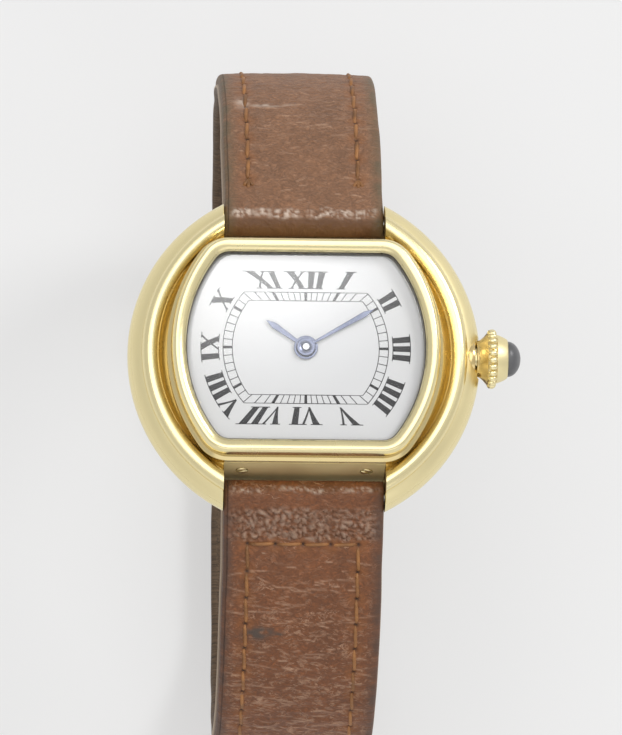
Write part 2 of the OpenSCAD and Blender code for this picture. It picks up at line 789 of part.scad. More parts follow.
module third_wheel() {
    color(brass) at(third_at) {
        at([0, 0], level(5)) rotate(fourth_deg) spoked(third_teeth, third_mod, 1.5 * storey, 5);
        at([0, 0], level(12.2)) rotate(third_deg + 180 - 180 / third_leaves)
            gear(third_leaves, centre_mod, 3.6 * storey);
        arbor(arbor_r, level(0.5), level(17.5));
    }
}

module fourth_wheel() {
    color(brass) at(fourth_at) {
        at([0, 0], level(9.5)) rotate(escape_deg) spoked(fourth_teeth, fourth_mod, 1.5 * storey, 5);
        at([0, 0], level(4)) rotate(fourth_deg + 180 - 180 / fourth_leaves)
            gear(fourth_leaves, third_mod, 3.6 * storey);
        arbor(arbor_r, level(0.5), level(17.5));
    }
}

module escape_wheel() {
    step = 360 / escape_teeth;
    tooth_h = 0.22;
    teeth = [for (i = [0:escape_teeth - 1], c = [[-0.3, 0], [0, tooth_h], [0.14, tooth_h], [0.2, 0]])
        polar(escape_r - tooth_h + c[1], (i + c[0]) * step)];
    color(steel) at(escape_at) {
        at([0, 0], lever_z) rotate(lever_deg) linear_extrude(lever_t) difference() {
            polygon(teeth);
            difference() {
                circle(escape_r - 2 * tooth_h);
                circle(2 * arbor_r);
                for (i = [0:3]) {
                    rotate(90 * i) translate([0, -arbor_r / 2]) square([escape_r - tooth_h, arbor_r]);
                }
            }
        }
        at([0, 0], level(8.8)) rotate(escape_deg + 180 - 180 / escape_leaves)
            gear(escape_leaves, fourth_mod, 3 * storey);
        arbor(arbor_r - 0.03, level(0.5), level(17.5));
    }
}

module pallet_lever() {
    stone_y = escape_r * sin(30);
    stone_x = escape_r * (cos(30) - 1 / cos(30));
    stone_h = 0.25;
    slot_r = 0.11;
    fork_x = lever_len - roller_r - slot_r;
    color(steel) at(pallet_at) {
        rotate(lever_deg) at([0, 0], lever_z) linear_extrude(lever_t) union() {
            circle(2 * slot_r);
            for (s = [-1, 1]) {
                polygon([[-slot_r, 0], [stone_x, s * stone_y], [stone_x, s * (stone_y + stone_h)],
                    [stone_x + stone_h, s * (stone_y + stone_h)], [slot_r, 0]]);
                polygon([[fork_x - stone_h, 0], [fork_x - slot_r, s * 2 * slot_r],
                    [fork_x + 1.5 * slot_r, s * 2 * slot_r], [fork_x + 1.5 * slot_r, s * slot_r],
                    [fork_x, s * slot_r], [fork_x, 0]]);
            }
            translate([0, -slot_r / 2]) square([fork_x, slot_r]);
        }
        at([0, 0], pallet_bridge_z + pallet_bridge_t + storey / 2)
            cylinder(h = plate_z - pallet_bridge_z - pallet_bridge_t - storey, r = pivot_r, $fn = 24);
        at([0, 0], pallet_bridge_z + storey / 2)
            cylinder(h = pivot_high - pallet_bridge_z, r = pivot_r - 0.02, $fn = 24);
    }
}

module pallet_bridge() {
    foot_r = 0.4;
    reach = 1.65;
    color(brass) at(pallet_at) rotate(atan2(pallet_at[1], pallet_at[0])) difference() {
        union() {
            at([0, 0], pallet_bridge_z) linear_extrude(pallet_bridge_t) union() {
                circle(0.75 * foot_r);
                translate([0, -foot_r / 2]) square([reach, foot_r]);
                translate([reach, 0]) circle(foot_r);
            }
            at([reach, 0], pallet_bridge_z) cylinder(h = plate_z - pallet_bridge_z, r = foot_r, $fn = 32);
        }
        at([0, 0], pallet_bridge_z - 1) cylinder(h = 2, r = pivot_r - 0.02 + run, $fn = 24);
    }
}

module balance_wheel() {
    rim_w = 0.25;
    color(brass) at(balance_at) {
        rotate(lever_deg) at([0, 0], balance_z) linear_extrude(2.5 * storey) difference() {
            circle(balance_r, $fn = 96);
            difference() {
                circle(balance_r - rim_w, $fn = 96);
                circle(0.3);
                square([2 * balance_r - rim_w, rim_w], center = true);
            }
        }
        at([0, 0], balance_z + 3 * storey) cylinder(h = 1.5 * storey, r = roller_r + 0.1);
        rotate(lever_deg + 180) at([roller_r, 0], balance_z + 3.5 * storey)
            cylinder(h = lever_z + lever_t - balance_z - 3.5 * storey, r = 0.06, $fn = 16);
        arbor(arbor_r, level(0.5), level(17.5));
    }
}

module hairspring() {
    turns = 5;
    steps = 90;
    thread = 0.04;
    start_r = 0.22;
    pitch = 0.18;
    inner = [for (i = [0:steps]) polar(start_r + pitch * turns * i / steps, 360 * turns * i / steps)];
    outer = [for (i = [steps:-1:0])
        polar(start_r + thread + pitch * turns * i / steps, 360 * turns * i / steps)];
    color(steel) at(balance_at, balance_z - 4.5 * storey) difference() {
        union() {
            linear_extrude(storey) polygon(concat(inner, outer));
            at([0, 0], -storey / 2) cylinder(h = 2 * storey, r = start_r + 2 * thread);
        }
        at([0, 0], -storey) cylinder(h = 3 * storey, r = arbor_r + fit);
    }
}

// Strap

module strap_upper() {
    side = strap_side(1, loop_drop, buckle_y + 0.01);
    last = len(side) - 1;
    rings = [for (i = [0:last]) let (s = i / last)
        strap_ring(side[i], tangent(side, i), strap_width(s), strap_thick(s), -1)];
    color(leather) difference() {
        union() {
            skin(rings);
            translate([0, bar_y, bar_z]) rotate([0, 90, 0]) cylinder(h = strap_w, r = roll_r, center = true);
            translate([0, buckle_y, inner_z]) rotate([0, 90, 0])
                cylinder(h = strap_end_w, r = strap_t / 2, center = true);
        }
        translate([0, bar_y, bar_z]) rotate([0, 90, 0])
            cylinder(h = strap_w + 1, r = bar_r + fit, center = true);
        translate([0, buckle_y, inner_z]) rotate([0, 90, 0])
            cylinder(h = strap_w + 1, r = buckle_bar_r + run, center = true);
        translate([-tongue_w / 2 - slack, buckle_y - eye_r - strap_t, inner_z - strap_t])
            cube([tongue_w + 2 * slack, 2 * eye_r + strap_t + 0.2, 2 * strap_t]);
    }
}

module strap_lower() {
    drop = loop_drop + layer_gap;
    head = strap_side(-1, drop, foot_half);
    reach = loop_half - foot_half + layer_gap;
    bends = 10;
    turns = [for (i = [1:bends]) let (a = -90 + (90 - tail_end_deg) * i / bends)
        [foot_half + reach * cos(a), -loop_mid + drop * sin(a)]];
    side = concat(head, turns);
    last = len(side) - 1;
    foot = len(head) - 4;
    rings = [for (i = [0:last]) let (s = i / foot, tip = max(i - last + 5, 0) / 5)
        strap_ring(side[i], tangent(side, i), strap_width(s) * sqrt(1 - 0.85 * pow(tip, 3)),
            strap_thick(s) - 0.2 * tip, 1)];
    color(leather) difference() {
        union() {
            skin(rings);
            translate([0, -bar_y, bar_z]) rotate([0, 90, 0]) cylinder(h = strap_w, r = roll_r, center = true);
        }
        translate([0, -bar_y, bar_z]) rotate([0, 90, 0])
            cylinder(h = strap_w + 1, r = bar_r + fit, center = true);
        for (y = [-hole_half, hole_half]) {
            translate([0, hole_y + y, tail_z - strap_t]) cylinder(h = 2 * strap_t, r = tongue_w / 2 + slack);
        }
        translate([-tongue_w / 2 - slack, hole_y - hole_half, tail_z - strap_t])
            cube([tongue_w + 2 * slack, 2 * hole_half, 2 * strap_t]);
        for (i = [0:spare_holes]) {
            if (i != 2) translate([0, hole_y + (i - 2) * hole_pitch, tail_z - strap_t])
                cylinder(h = 2 * strap_t, r = spare_hole_r);
        }
    }
}

module fixed_keeper() {
    color(leather) translate([0, fixed_keeper_y, keeper_top - keeper_in_h / 2])
        band(keeper_in_w, keeper_in_h, keeper_wall, keeper_w);
}

module free_keeper() {
    color(leather) translate([0, free_keeper_at[0], free_keeper_at[1]]) rotate([free_keeper_tilt, 0, 0])
        band(keeper_in_w, keeper_in_h + 2 * bend_room, keeper_wall, keeper_w);
}

// Buckle

module buckle_frame() {
    bar = [buckle_y, inner_z];
    profile = [[bar[0] + 0.5, bar[1] + 0.8], [bar[0] + 0.5, bar[1] - 0.9], [front_y + 0.9, floor_z],
        [front_y - 0.6, floor_z], [front_y - 0.9, floor_z + 0.4], [front_y - 0.9, floor_z + front_h],
        [front_y + 0.4, floor_z + front_h + 0.5], [bar[0] - 1, bar[1] + 0.8]];
    color(gold) difference() {
        union() {
            for (s = [-1, 1]) {
                translate([s * (arm_x + arm_t / 2) - arm_t / 2, 0, 0]) rotate([90, 0, 90])
                    linear_extrude(arm_t) polygon(profile);
            }
            translate([-arm_x - arm_t / 2, 0, 0]) rotate([90, 0, 90]) linear_extrude(2 * arm_x + arm_t)
                polygon([[front_y + 0.9, floor_z], [front_y - 0.6, floor_z], [front_y - 0.9, floor_z + 0.4],
                    [front_y - 0.9, floor_z + front_h], [front_y + 0.9, floor_z + front_h]]);
        }
        translate([0, bar[0], bar[1]]) rotate([0, 90, 0])
            cylinder(h = 3 * arm_x, r = buckle_bar_r + fit, center = true);
        translate([-tongue_w / 2 - slack, front_y - 2, floor_z - 1])
            cube([tongue_w + 2 * slack, 4, 1 + tongue_t + slack]);
    }
}

module buckle_tongue() {
    outer = floor_z + run + tongue_t;
    profile = [[buckle_y - eye_r, inner_z], [buckle_y - 3.05, outer], [front_y - 0.7, outer],
        [front_y - 0.8, outer - tongue_t + 0.15], [front_y - 0.6, outer - tongue_t],
        [buckle_y - 2.7, outer - tongue_t], [buckle_y - 0.6, inner_z - 0.55], [buckle_y, inner_z - 0.5]];
    color(gold) difference() {
        translate([-tongue_w / 2, 0, 0]) rotate([90, 0, 90]) linear_extrude(tongue_w) union() {
            polygon(profile);
            translate([buckle_y, inner_z]) circle(eye_r);
        }
        translate([0, buckle_y, inner_z]) rotate([0, 90, 0])
            cylinder(h = 2 * tongue_w, r = buckle_bar_r + run, center = true);
    }
}

module buckle_bar() {
    color(steel) translate([0, buckle_y, inner_z]) rotate([0, 90, 0])
        cylinder(h = 2 * (arm_x + arm_t), r = buckle_bar_r, center = true);
}

case_middle();
bezel();
crystal();
crystal_gasket();
case_back();
case_back_gasket();
strap_bar_upper();
strap_bar_lower();
end_screws();
crown_tube();
dial();
hour_hand();
minute_hand();
cannon_pinion();
hour_wheel();
minute_wheel();
winding_stem();
crown();
crown_cabochon();
sliding_clutch();
main_plate();
barrel_bridge();
train_bridge();
movement_ring();
winding_pinion();
bridge_screws();
barrel();
centre_wheel();
third_wheel();
fourth_wheel();
escape_wheel();
pallet_lever();
pallet_bridge();
balance_wheel();
hairspring();
strap_upper();
strap_lower();
fixed_keeper();
free_keeper();
buckle_frame();
buckle_tongue();
buckle_bar();
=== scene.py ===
"""Dressing for the oval watch, laid out as an add-on. Sizes are in millimetres unless a name says otherwise."""
import math

import bmesh
import bpy
import numpy as np
from bpy.props import FloatProperty, FloatVectorProperty, PointerProperty
from mathutils import Matrix, Vector


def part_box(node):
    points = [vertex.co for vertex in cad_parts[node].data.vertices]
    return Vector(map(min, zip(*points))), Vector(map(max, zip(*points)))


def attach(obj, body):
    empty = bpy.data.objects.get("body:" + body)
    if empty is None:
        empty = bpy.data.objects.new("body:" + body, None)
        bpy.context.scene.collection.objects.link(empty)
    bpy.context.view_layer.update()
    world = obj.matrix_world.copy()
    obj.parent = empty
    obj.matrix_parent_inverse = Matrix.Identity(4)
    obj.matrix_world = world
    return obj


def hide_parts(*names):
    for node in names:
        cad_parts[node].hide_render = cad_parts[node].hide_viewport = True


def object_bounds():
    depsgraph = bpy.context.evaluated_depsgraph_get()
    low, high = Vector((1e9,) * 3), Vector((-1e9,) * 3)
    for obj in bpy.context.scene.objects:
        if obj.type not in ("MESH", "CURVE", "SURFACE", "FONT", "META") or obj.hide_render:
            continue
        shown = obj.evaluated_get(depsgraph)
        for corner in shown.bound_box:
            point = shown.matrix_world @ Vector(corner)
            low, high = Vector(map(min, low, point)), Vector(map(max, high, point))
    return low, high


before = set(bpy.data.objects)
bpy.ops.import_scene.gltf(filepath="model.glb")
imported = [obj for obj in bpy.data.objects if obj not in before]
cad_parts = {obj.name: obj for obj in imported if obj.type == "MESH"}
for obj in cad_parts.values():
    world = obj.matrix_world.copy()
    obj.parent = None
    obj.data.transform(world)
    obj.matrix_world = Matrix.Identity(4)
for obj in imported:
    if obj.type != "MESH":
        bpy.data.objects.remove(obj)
CAD_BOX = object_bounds()

bl_info = {
    "name": "Oval watch dressing",
    "version": (1, 0, 0),
    "blender": (4, 5, 0),
    "location": "View3D > Sidebar > Watch",
    "description": "Finishes the case, dial, hands, crown, leather strap and buckle of an oval watch",
    "category": "Object",
}

MM = 0.001


def box_mm(node):
    """Lowest and highest corner of a CAD node, in millimetres."""
    low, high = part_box(node)
    return np.array(low) / MM, np.array(high) / MM


# Places that follow the frame

_, DIAL_HIGH = box_mm("dial")
BEZEL_LOW, BEZEL_HIGH = box_mm("bezel")
_, CASE_HIGH = box_mm("case_middle")
CRYSTAL_LOW, CRYSTAL_HIGH = box_mm("crystal")
CROWN_LOW, CROWN_HIGH = box_mm("crown")
CROWN_Z = (CROWN_LOW[2] + CROWN_HIGH[2]) / 2
STONE_LOW, STONE_HIGH = box_mm("crown_cabochon")
_, PIN_HIGH = box_mm("cannon_pinion")


def rgb(code):
    """A hex sRGB colour as linear RGBA."""
    parts = [int(code[i:i + 2], 16) / 255 for i in (1, 3, 5)]
    return tuple(c / 12.92 if c <= 0.04045 else ((c + 0.055) / 1.055) ** 2.4 for c in parts) + (1.0,)


def number(name, description, default):
    """A setting with one number."""
    return FloatProperty(name=name, description=description, default=default)


def tint(name, code):
    """A colour setting, given as hex."""
    return FloatVectorProperty(name=name, description="Colour of the " + name.lower(), subtype="COLOR", size=4,
                               default=rgb(code))


class WatchCaseSizes(bpy.types.PropertyGroup):
    """Sizes of the bezel, the crystal and the dial opening."""
    half_w: number("Half width", "Half width of the dial opening", 9.6)
    half_h: number("Half height", "Half height of the dial opening", 7.7)
    side_r: number("Side radius", "Radius of the round sides", 12.0)
    corner_r: number("Corner radius", "Radius of the four corners", 1.4)
    bezel_w: number("Bezel width", "Width of the half-round ring", 1.2)
    ledge_w: number("Ledge width", "Width to the edge of the ledge", 1.5)
    gold: tint("Gold", "#EFE1B0")


class WatchDialSizes(bpy.types.PropertyGroup):
    """Sizes of the print on the dial and of the hands."""
    ring_out_w: number("Ring half width", "Outer line of the minute ring", 6.62)
    ring_out_h: number("Ring half height", "Outer line, top and bottom", 4.56)
    ring_in_w: number("Inner half width", "Inner line of the minute ring", 5.88)
    ring_in_h: number("Inner half height", "Inner line, top and bottom", 3.86)
    numeral_in_w: number("Foot half width", "Foot line of the numerals", 6.95)
    numeral_in_h: number("Foot half height", "Foot line, top and bottom", 4.85)
    numeral_out_w: number("Head half width", "Head line of the numerals", 8.42)
    numeral_out_h: number("Head half height", "Head line, top and bottom", 6.3)
    ink_t: number("Ink", "Height of the print", 0.012)
    show_minutes: number("Time", "Minutes past noon that the hands show", 610.0)
    print_colour: tint("Print", "#121214")
    dial_colour: tint("Dial", "#D9D9D8")


class WatchStrapSizes(bpy.types.PropertyGroup):
    """Sizes and colours of the leather strap."""
    bar_y: number("Bar place", "Distance of the case bars from the centre", 11.3)
    bar_z: number("Bar height", "Height of the case bars", 1.9)
    roll_r: number("Roll", "Radius of the rolled strap end", 1.3)
    width: number("Width", "Width at the case", 12.8)
    end_width: number("End width", "Width at the buckle", 11.4)
    thickness: number("Thickness", "Thickness at the buckle", 1.6)
    loop_half: number("Loop half width", "Half width of the closed loop", 27.5)
    loop_mid: number("Loop middle", "Depth of the widest line", 17.25)
    loop_drop: number("Loop drop", "Depth of the foot below it", 20.0)
    foot_half: number("Foot", "Half length of the flat foot", 11.0)
    layer_gap: number("Layer gap", "Step between the two layers", 1.75)
    stitch_inset: number("Stitch inset", "Stitch line from the edge", 1.95)
    stitch_pitch: number("Stitch pitch", "Length of one stitch", 2.25)
    hole_pitch: number("Hole pitch", "Distance between the strap's holes", 5.5)
    tail_deg: number("Tail", "Where the tail ends on the bend", 54.0)
    upper_leather: tint("Upper leather", "#8E6548")
    lower_leather: tint("Lower leather", "#7E4B28")
    thread: tint("Thread", "#A97340")


# Meshes

def linked(name, data):
    """A new object in the scene."""
    thing = bpy.data.objects.new(name, data)
    bpy.context.scene.collection.objects.link(thing)
    return thing


def put(name, points, faces, body, slot, finish, uv=None, marks=None, weld=0.0005):
    """A mesh object from points in millimetres and quads or polygons, riding on a body. Points nearer to each
    other than weld become one, and 0 leaves them."""
    mesh = bpy.data.meshes.new(name)
    mesh.from_pydata(np.asarray(points).reshape(-1, 3) * MM, [], faces)
    if uv is not None:
        layer = mesh.uv_layers.new(name="surface")
        loops = np.zeros(len(mesh.loops), int)
        mesh.loops.foreach_get("vertex_index", loops)
        layer.data.foreach_set("uv", np.asarray(uv, float).reshape(-1, 2)[loops].ravel())
    for key, values in (marks or {}).items():
        mesh.attributes.new(key, "FLOAT", "POINT").data.foreach_set("value", np.asarray(values, float).ravel())
    if weld:
        work = bmesh.new()
        work.from_mesh(mesh)
        bmesh.ops.remove_doubles(work, verts=work.verts, dist=weld * MM)
        bmesh.ops.recalc_face_normals(work, faces=work.faces)
        work.to_mesh(mesh)
        work.free()
    mesh.shade_smooth()
    mesh.update()
    thing = linked(name, mesh)
    thing.data.materials.append(finish_named(finish))
    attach(thing, body)
    return thing


def grid_faces(rows, cols, wrap_rows=False, wrap_cols=False):
    """Quads over a grid of rows by cols points, closed along either way if asked."""
    i = np.arange(rows if wrap_rows else rows - 1)
    j = np.arange(cols if wrap_cols else cols - 1)
    i, j = np.meshgrid(i, j, indexing="ij")
    a = i * cols + j
    b = i * cols + (j + 1) % cols
    c = ((i + 1) % rows) * cols + (j + 1) % cols
    d = ((i + 1) % rows) * cols + j
    return np.stack([a, b, c, d], -1).reshape(-1, 4).tolist()


def ring_faces(rows, cols):
    """Faces of a swept section with its two end caps."""
    faces = grid_faces(rows, cols, False, True)
    return faces + [list(range(cols))[::-1], [(rows - 1) * cols + k for k in range(cols)]]


def join_parts(parts):
    """Several (points, faces) as one."""
    points, faces, start = [], [], 0
    for part_points, part_faces in parts:
        part_points = np.asarray(part_points).reshape(-1, 3)
        points.append(part_points)
        faces += [[k + start for k in face] for face in part_faces]
        start += len(part_points)
    return np.concatenate(points), faces


def slab(top, depth):
    """A closed plate under a grid of points: the same grid lowered by depth, with four side strips."""
    top = np.asarray(top, float)
    rows, cols = top.shape[:2]
    low = top - np.array([0, 0, depth])
    count = rows * cols
    upper = grid_faces(rows, cols)
    lower = [[f[3] + count, f[2] + count, f[1] + count, f[0] + count] for f in upper]
    ids = np.arange(count).reshape(rows, cols)
    rim = np.concatenate([ids[0, :-1], ids[:-1, -1], ids[-1, :0:-1], ids[:0:-1, 0]])
    nxt = np.roll(rim, -1)
    sides = np.stack([nxt, rim, rim + count, nxt + count], -1).tolist()
    return np.concatenate([top.reshape(-1, 3), low.reshape(-1, 3)]), upper + lower + sides


def arc(cx, cy, rx, ry, start, end, count):
    """Points of an elliptic arc, angles in degrees."""
    a = np.radians(np.linspace(start, end, count))
    return np.stack([cx + rx * np.cos(a), cy + ry * np.sin(a)], -1)


def run_along(line):
    """Distance of each point of a line from its start."""
    return np.concatenate([[0], np.cumsum(np.linalg.norm(np.diff(line, axis=0), axis=1))])


def sampled(line, run, at):
    """The two values of a line, or of its normals, at distances along it."""
    return np.stack([np.interp(at, run, line[:, k]) for k in (0, 1)], -1)


def evenly(points, normals, run, count):
    """Points and unit normals of a closed line, evenly spaced along it."""
    at = np.linspace(0, run[-1], count, endpoint=False)
    facing = sampled(normals, run, at)
    return sampled(points, run, at), facing / np.linalg.norm(facing, axis=1, keepdims=True)


def oval_line(size, count):
    """Points and outward normals of the dial opening, a truncated oval, evenly spaced along it."""
    side_x = size.half_w - size.side_r
    corner_y = size.half_h - size.corner_r
    corner_x = side_x + math.sqrt((size.side_r - size.corner_r) ** 2 - corner_y ** 2)
    turn = math.degrees(math.atan2(corner_y, corner_x - side_x))
    points, normals = [], []
    for cx, cy, r, a0, a1 in ((side_x, 0, size.side_r, 0, turn), (corner_x, corner_y, size.corner_r, turn, 90)):
        unit = arc(0, 0, 1, 1, a0, a1, 200)
        points.append(np.array([cx, cy]) + unit * r)
        normals.append(unit)
    points, normals = np.concatenate(points + [[[0.0, size.half_h]]]), np.concatenate(normals + [[[0.0, 1.0]]])
    # A quarter mirrored to a half, and the half turned to the whole
    points, normals = (np.concatenate([row, (row * [-1, 1])[::-1][1:]]) for row in (points, normals))
    points, normals = (np.concatenate([row, -row[1:]]) for row in (points, normals))
    return evenly(points, normals, run_along(points), count)


def carried(place, facing, profile):
    """A profile of (outward, height) carried along a flat line: point + normal x outward, at that height."""
    flat = place[:, None, :] + facing[:, None, :] * profile[None, :, :1]
    height = np.broadcast_to(profile[None, :, 1:], flat.shape[:2] + (1,))
    return np.concatenate([flat, height], -1)


def turned(profile, count, axis="z", centre=(0, 0, 0)):
    """A profile of (radius, place along the axis) turned once round the axis."""
    a = np.linspace(0, 2 * np.pi, count, endpoint=False)[:, None]
    r, h = profile[None, :, 0], profile[None, :, 1]
    round_it = [r * np.cos(a), r * np.sin(a)]
    points = np.stack(round_it + [h + 0 * a] if axis == "z" else [h + 0 * a] + round_it, -1)
    return points + np.array(centre)


def put_turned(name, profile, count, body, slot, finish, start=0.0, closed=True):
    """A piece from a profile turned round the crown's axis, its places counted from start. A profile that runs
    from the axis to the axis isn't closed."""
    faces = grid_faces(count, len(profile), True, closed)
    return put(name, turned(profile, count, "x", (start, 0, CROWN_Z)), faces, body, slot, finish)


def hashed(a, b, seed, factors=(127.1, 311.7, 74.7, 43758.5453)):
    """A number from 0 to 1 for each lattice point: the broken part of a large sine."""
    value = np.sin(a * factors[0] + b * factors[1] + seed * factors[2]) * factors[3]
    return value - np.floor(value)


def noise(x, y, seed):
    """Smooth lattice noise from 0 to 1: hashed corners blended by a smoothstep."""
    xi, yi = np.floor(x), np.floor(y)
    fx, fy = x - xi, y - yi
    fx, fy = fx * fx * (3 - 2 * fx), fy * fy * (3 - 2 * fy)
    low, high = (hashed(xi, yi + k, seed) * (1 - fx) + hashed(xi + 1, yi + k, seed) * fx for k in (0, 1))
    return low * (1 - fy) + high * fy


# Materials

def fill(node, inputs):
    """Sets a node's inputs, or links those that are given a socket."""
    for key, value in inputs.items():
        if isinstance(value, bpy.types.NodeSocket):
            node.id_data.links.new(value, node.inputs[key])
        else:
            node.inputs[key].default_value = value


def add(tree, kind, inputs=None, **settings):
    """Adds a node, sets its settings, and fills its inputs."""
    node = tree.nodes.new(kind)
    for key, value in settings.items():
        setattr(node, key, value)
    fill(node, inputs or {})
    return node


def new_material(name):
    """An empty material with its output and a Principled shader."""
    mat = bpy.data.materials.new(name)
    mat.use_nodes = True
    tree = mat.node_tree
    tree.nodes.clear()
    shader = add(tree, "ShaderNodeBsdfPrincipled")
    add(tree, "ShaderNodeOutputMaterial", {"Surface": shader.outputs[0]})
    return mat, tree, shader


def set_shader(shader, **values):
    """Fills the shader's own sockets. Underscores stand for spaces."""
    fill(shader, {key.replace("_", " "): value for key, value in values.items()})


def mix_surface(tree, fac, first, second):
    """Sends a mix of two shaders to the output of a material."""
    mix = add(tree, "ShaderNodeMixShader", {0: fac, 1: first.outputs[0], 2: second.outputs[0]})
    fill(tree.nodes["Material Output"], {0: mix.outputs[0]})


def own_place(tree):
    """The piece's own coordinates, in metres."""
    return add(tree, "ShaderNodeTexCoord").outputs["Object"]


def cloud(tree, scale, detail=2.0, rough=0.5, at=None):
    """Noise from 0 to 1, scale in cycles per metre of the piece, or per unit of other coordinates."""
    return add(tree, "ShaderNodeTexNoise", {"Vector": own_place(tree) if at is None else at, "Scale": scale,
                                           "Detail": detail, "Roughness": rough}).outputs["Fac"]


def bumped(tree, height, strength, distance):
    """The normal of a relief, its distance in metres."""
    return add(tree, "ShaderNodeBump", {"Height": height, "Strength": strength, "Distance": distance}).outputs[0]


def ramp(tree, fac, stops):
    """A colour ramp through (place, colour) stops."""
    node = add(tree, "ShaderNodeValToRGB", {"Fac": fac})
    for element, (place, colour) in zip(node.color_ramp.elements, stops):
        element.position = place
        element.color = colour
    return node.outputs["Color"]


def mixed(tree, fac, first, second, blend="MIX"):
    """A colour mixed from two."""
    node = add(tree, "ShaderNodeMix", {0: fac, 6: first, 7: second}, data_type="RGBA", blend_type=blend)
    return node.outputs[2]


def spread(tree, value, low, high, to_low=0.0, to_high=1.0, **settings):
    """A value stretched from one range to another and held at its ends."""
    return add(tree, "ShaderNodeMapRange", {"Value": value, "From Min": low, "From Max": high,
                                           "To Min": to_low, "To Max": to_high}, **settings).outputs["Result"]


def maths(tree, kind, *values):
    """One sum on up to three values."""
    return add(tree, "ShaderNodeMath", dict(enumerate(values)), operation=kind).outputs[0]


def mark(tree, name, share=1.0):
    """A mark stored on the mesh, times a share."""
    value = add(tree, "ShaderNodeAttribute", attribute_name=name).outputs["Fac"]
    return value if share == 1.0 else maths(tree, "MULTIPLY", value, share)


def grey(value):
    """A grey as RGBA."""
    return (value, value, value, 1)


def scaled(colour, share):
    """A colour made darker or lighter."""
    return tuple(min(c * share, 1) for c in colour[:3]) + (1,)


# End walls of the strap slots on the case: within this half width, and further out than this
WALL_HALF_X, WALL_Y = 6.45, 9.15


def yellow_gold(name, colour, low, high, walls=False, deep=None):
    """18 carat yellow gold, cast and polished: a clean metal with a faint haze of hairlines from wear. Its
    roughness drifts from low to high. On the case the end walls of the strap slots are satin. In the groove
    between case and bezel the gold is painted darker, as painted shade: deep is the range in mm over which
    that painted shade ends, of the distance from the middle on the case and of the height on the bezel."""
    mat, tree, shader = new_material(name)
    # Hairlines about 0.05 mm apart, drawn at 0.25 mm so that they show
    hair = cloud(tree, 4000.0, 4.0, 0.6)
    rough, zone = spread(tree, cloud(tree, 300.0), 0.3, 0.7, low, high), 0.0
    x, y, level = add(tree, "ShaderNodeSeparateXYZ", {0: own_place(tree)}).outputs
    if walls:
        zone = maths(tree, "MULTIPLY", maths(tree, "LESS_THAN", maths(tree, "ABSOLUTE", x), WALL_HALF_X * MM),
                     maths(tree, "GREATER_THAN", maths(tree, "ABSOLUTE", y), WALL_Y * MM))
        rough = maths(tree, "MULTIPLY_ADD", zone, 0.34, rough)
        level = maths(tree, "SQRT", maths(tree, "MULTIPLY_ADD", x, x, maths(tree, "MULTIPLY", y, y)))
    # Painted shade: toward the groove the gold is mixed to a darker tone, where shade falls
    if deep:
        share = maths(tree, "MULTIPLY", spread(tree, level, deep[0] * MM, deep[1] * MM, 1.0, 0.0),
                      maths(tree, "SUBTRACT", 1.0, zone))
        colour = mixed(tree, share, colour, rgb("#DAC793"))
    set_shader(shader, Base_Color=colour, Metallic=1.0, Roughness=rough, Normal=bumped(tree, hair, 0.04, 0.00002))
    return mat


def machined_metal(name, colour, roughness, pitch):
    """Turned or drawn metal: fine tool marks, here as stretched noise at the given pitch in mm."""
    mat, tree, shader = new_material(name)
    marks = cloud(tree, 1 / (pitch * MM), 3.0)
    set_shader(shader, Base_Color=colour, Metallic=1.0, Normal=bumped(tree, marks, 0.1, 0.00001),
               Roughness=spread(tree, marks, 0.0, 1.0, roughness * 0.7, roughness * 1.3))
    return mat


def drifting(name, scale, detail, first, second, **values):
    """A plain material whose colour drifts with noise between two (place, colour) stops."""
    mat, tree, shader = new_material(name)
    set_shader(shader, Base_Color=ramp(tree, cloud(tree, scale, detail), (first, second)), **values)
    return mat


def silvered_dial(colour):
    """Brass disc, silvered and lacquered: near white, with a satin grain of 0.08 mm under a thin clear coat."""
    mat, tree, shader = new_material("silvered dial lacquer")
    set_shader(shader, Base_Color=mixed(tree, cloud(tree, 90.0), colour, rgb("#D2D3D6")), Roughness=0.42,
               Coat_Weight=0.25, Coat_Roughness=0.12, Normal=bumped(tree, cloud(tree, 12000.0), 0.05, 0.00001))
    return mat


def clear_crystal():
    """Mineral crystal with a low-reflection coating: clear and polished, with only its surface gloss to see.
    The rays that light what is under it pass straight through, so the light is counted once."""
    mat, tree, shader = new_material("mineral crystal")
    set_shader(shader, Base_Color=rgb("#FFFFFF"), Roughness=0.0, IOR=1.3, Transmission_Weight=1.0)
    path = add(tree, "ShaderNodeLightPath").outputs
    seen = maths(tree, "MAXIMUM", path["Is Camera Ray"], path["Is Transmission Ray"])
    mix_surface(tree, seen, add(tree, "ShaderNodeBsdfTransparent"), shader)
    return mat


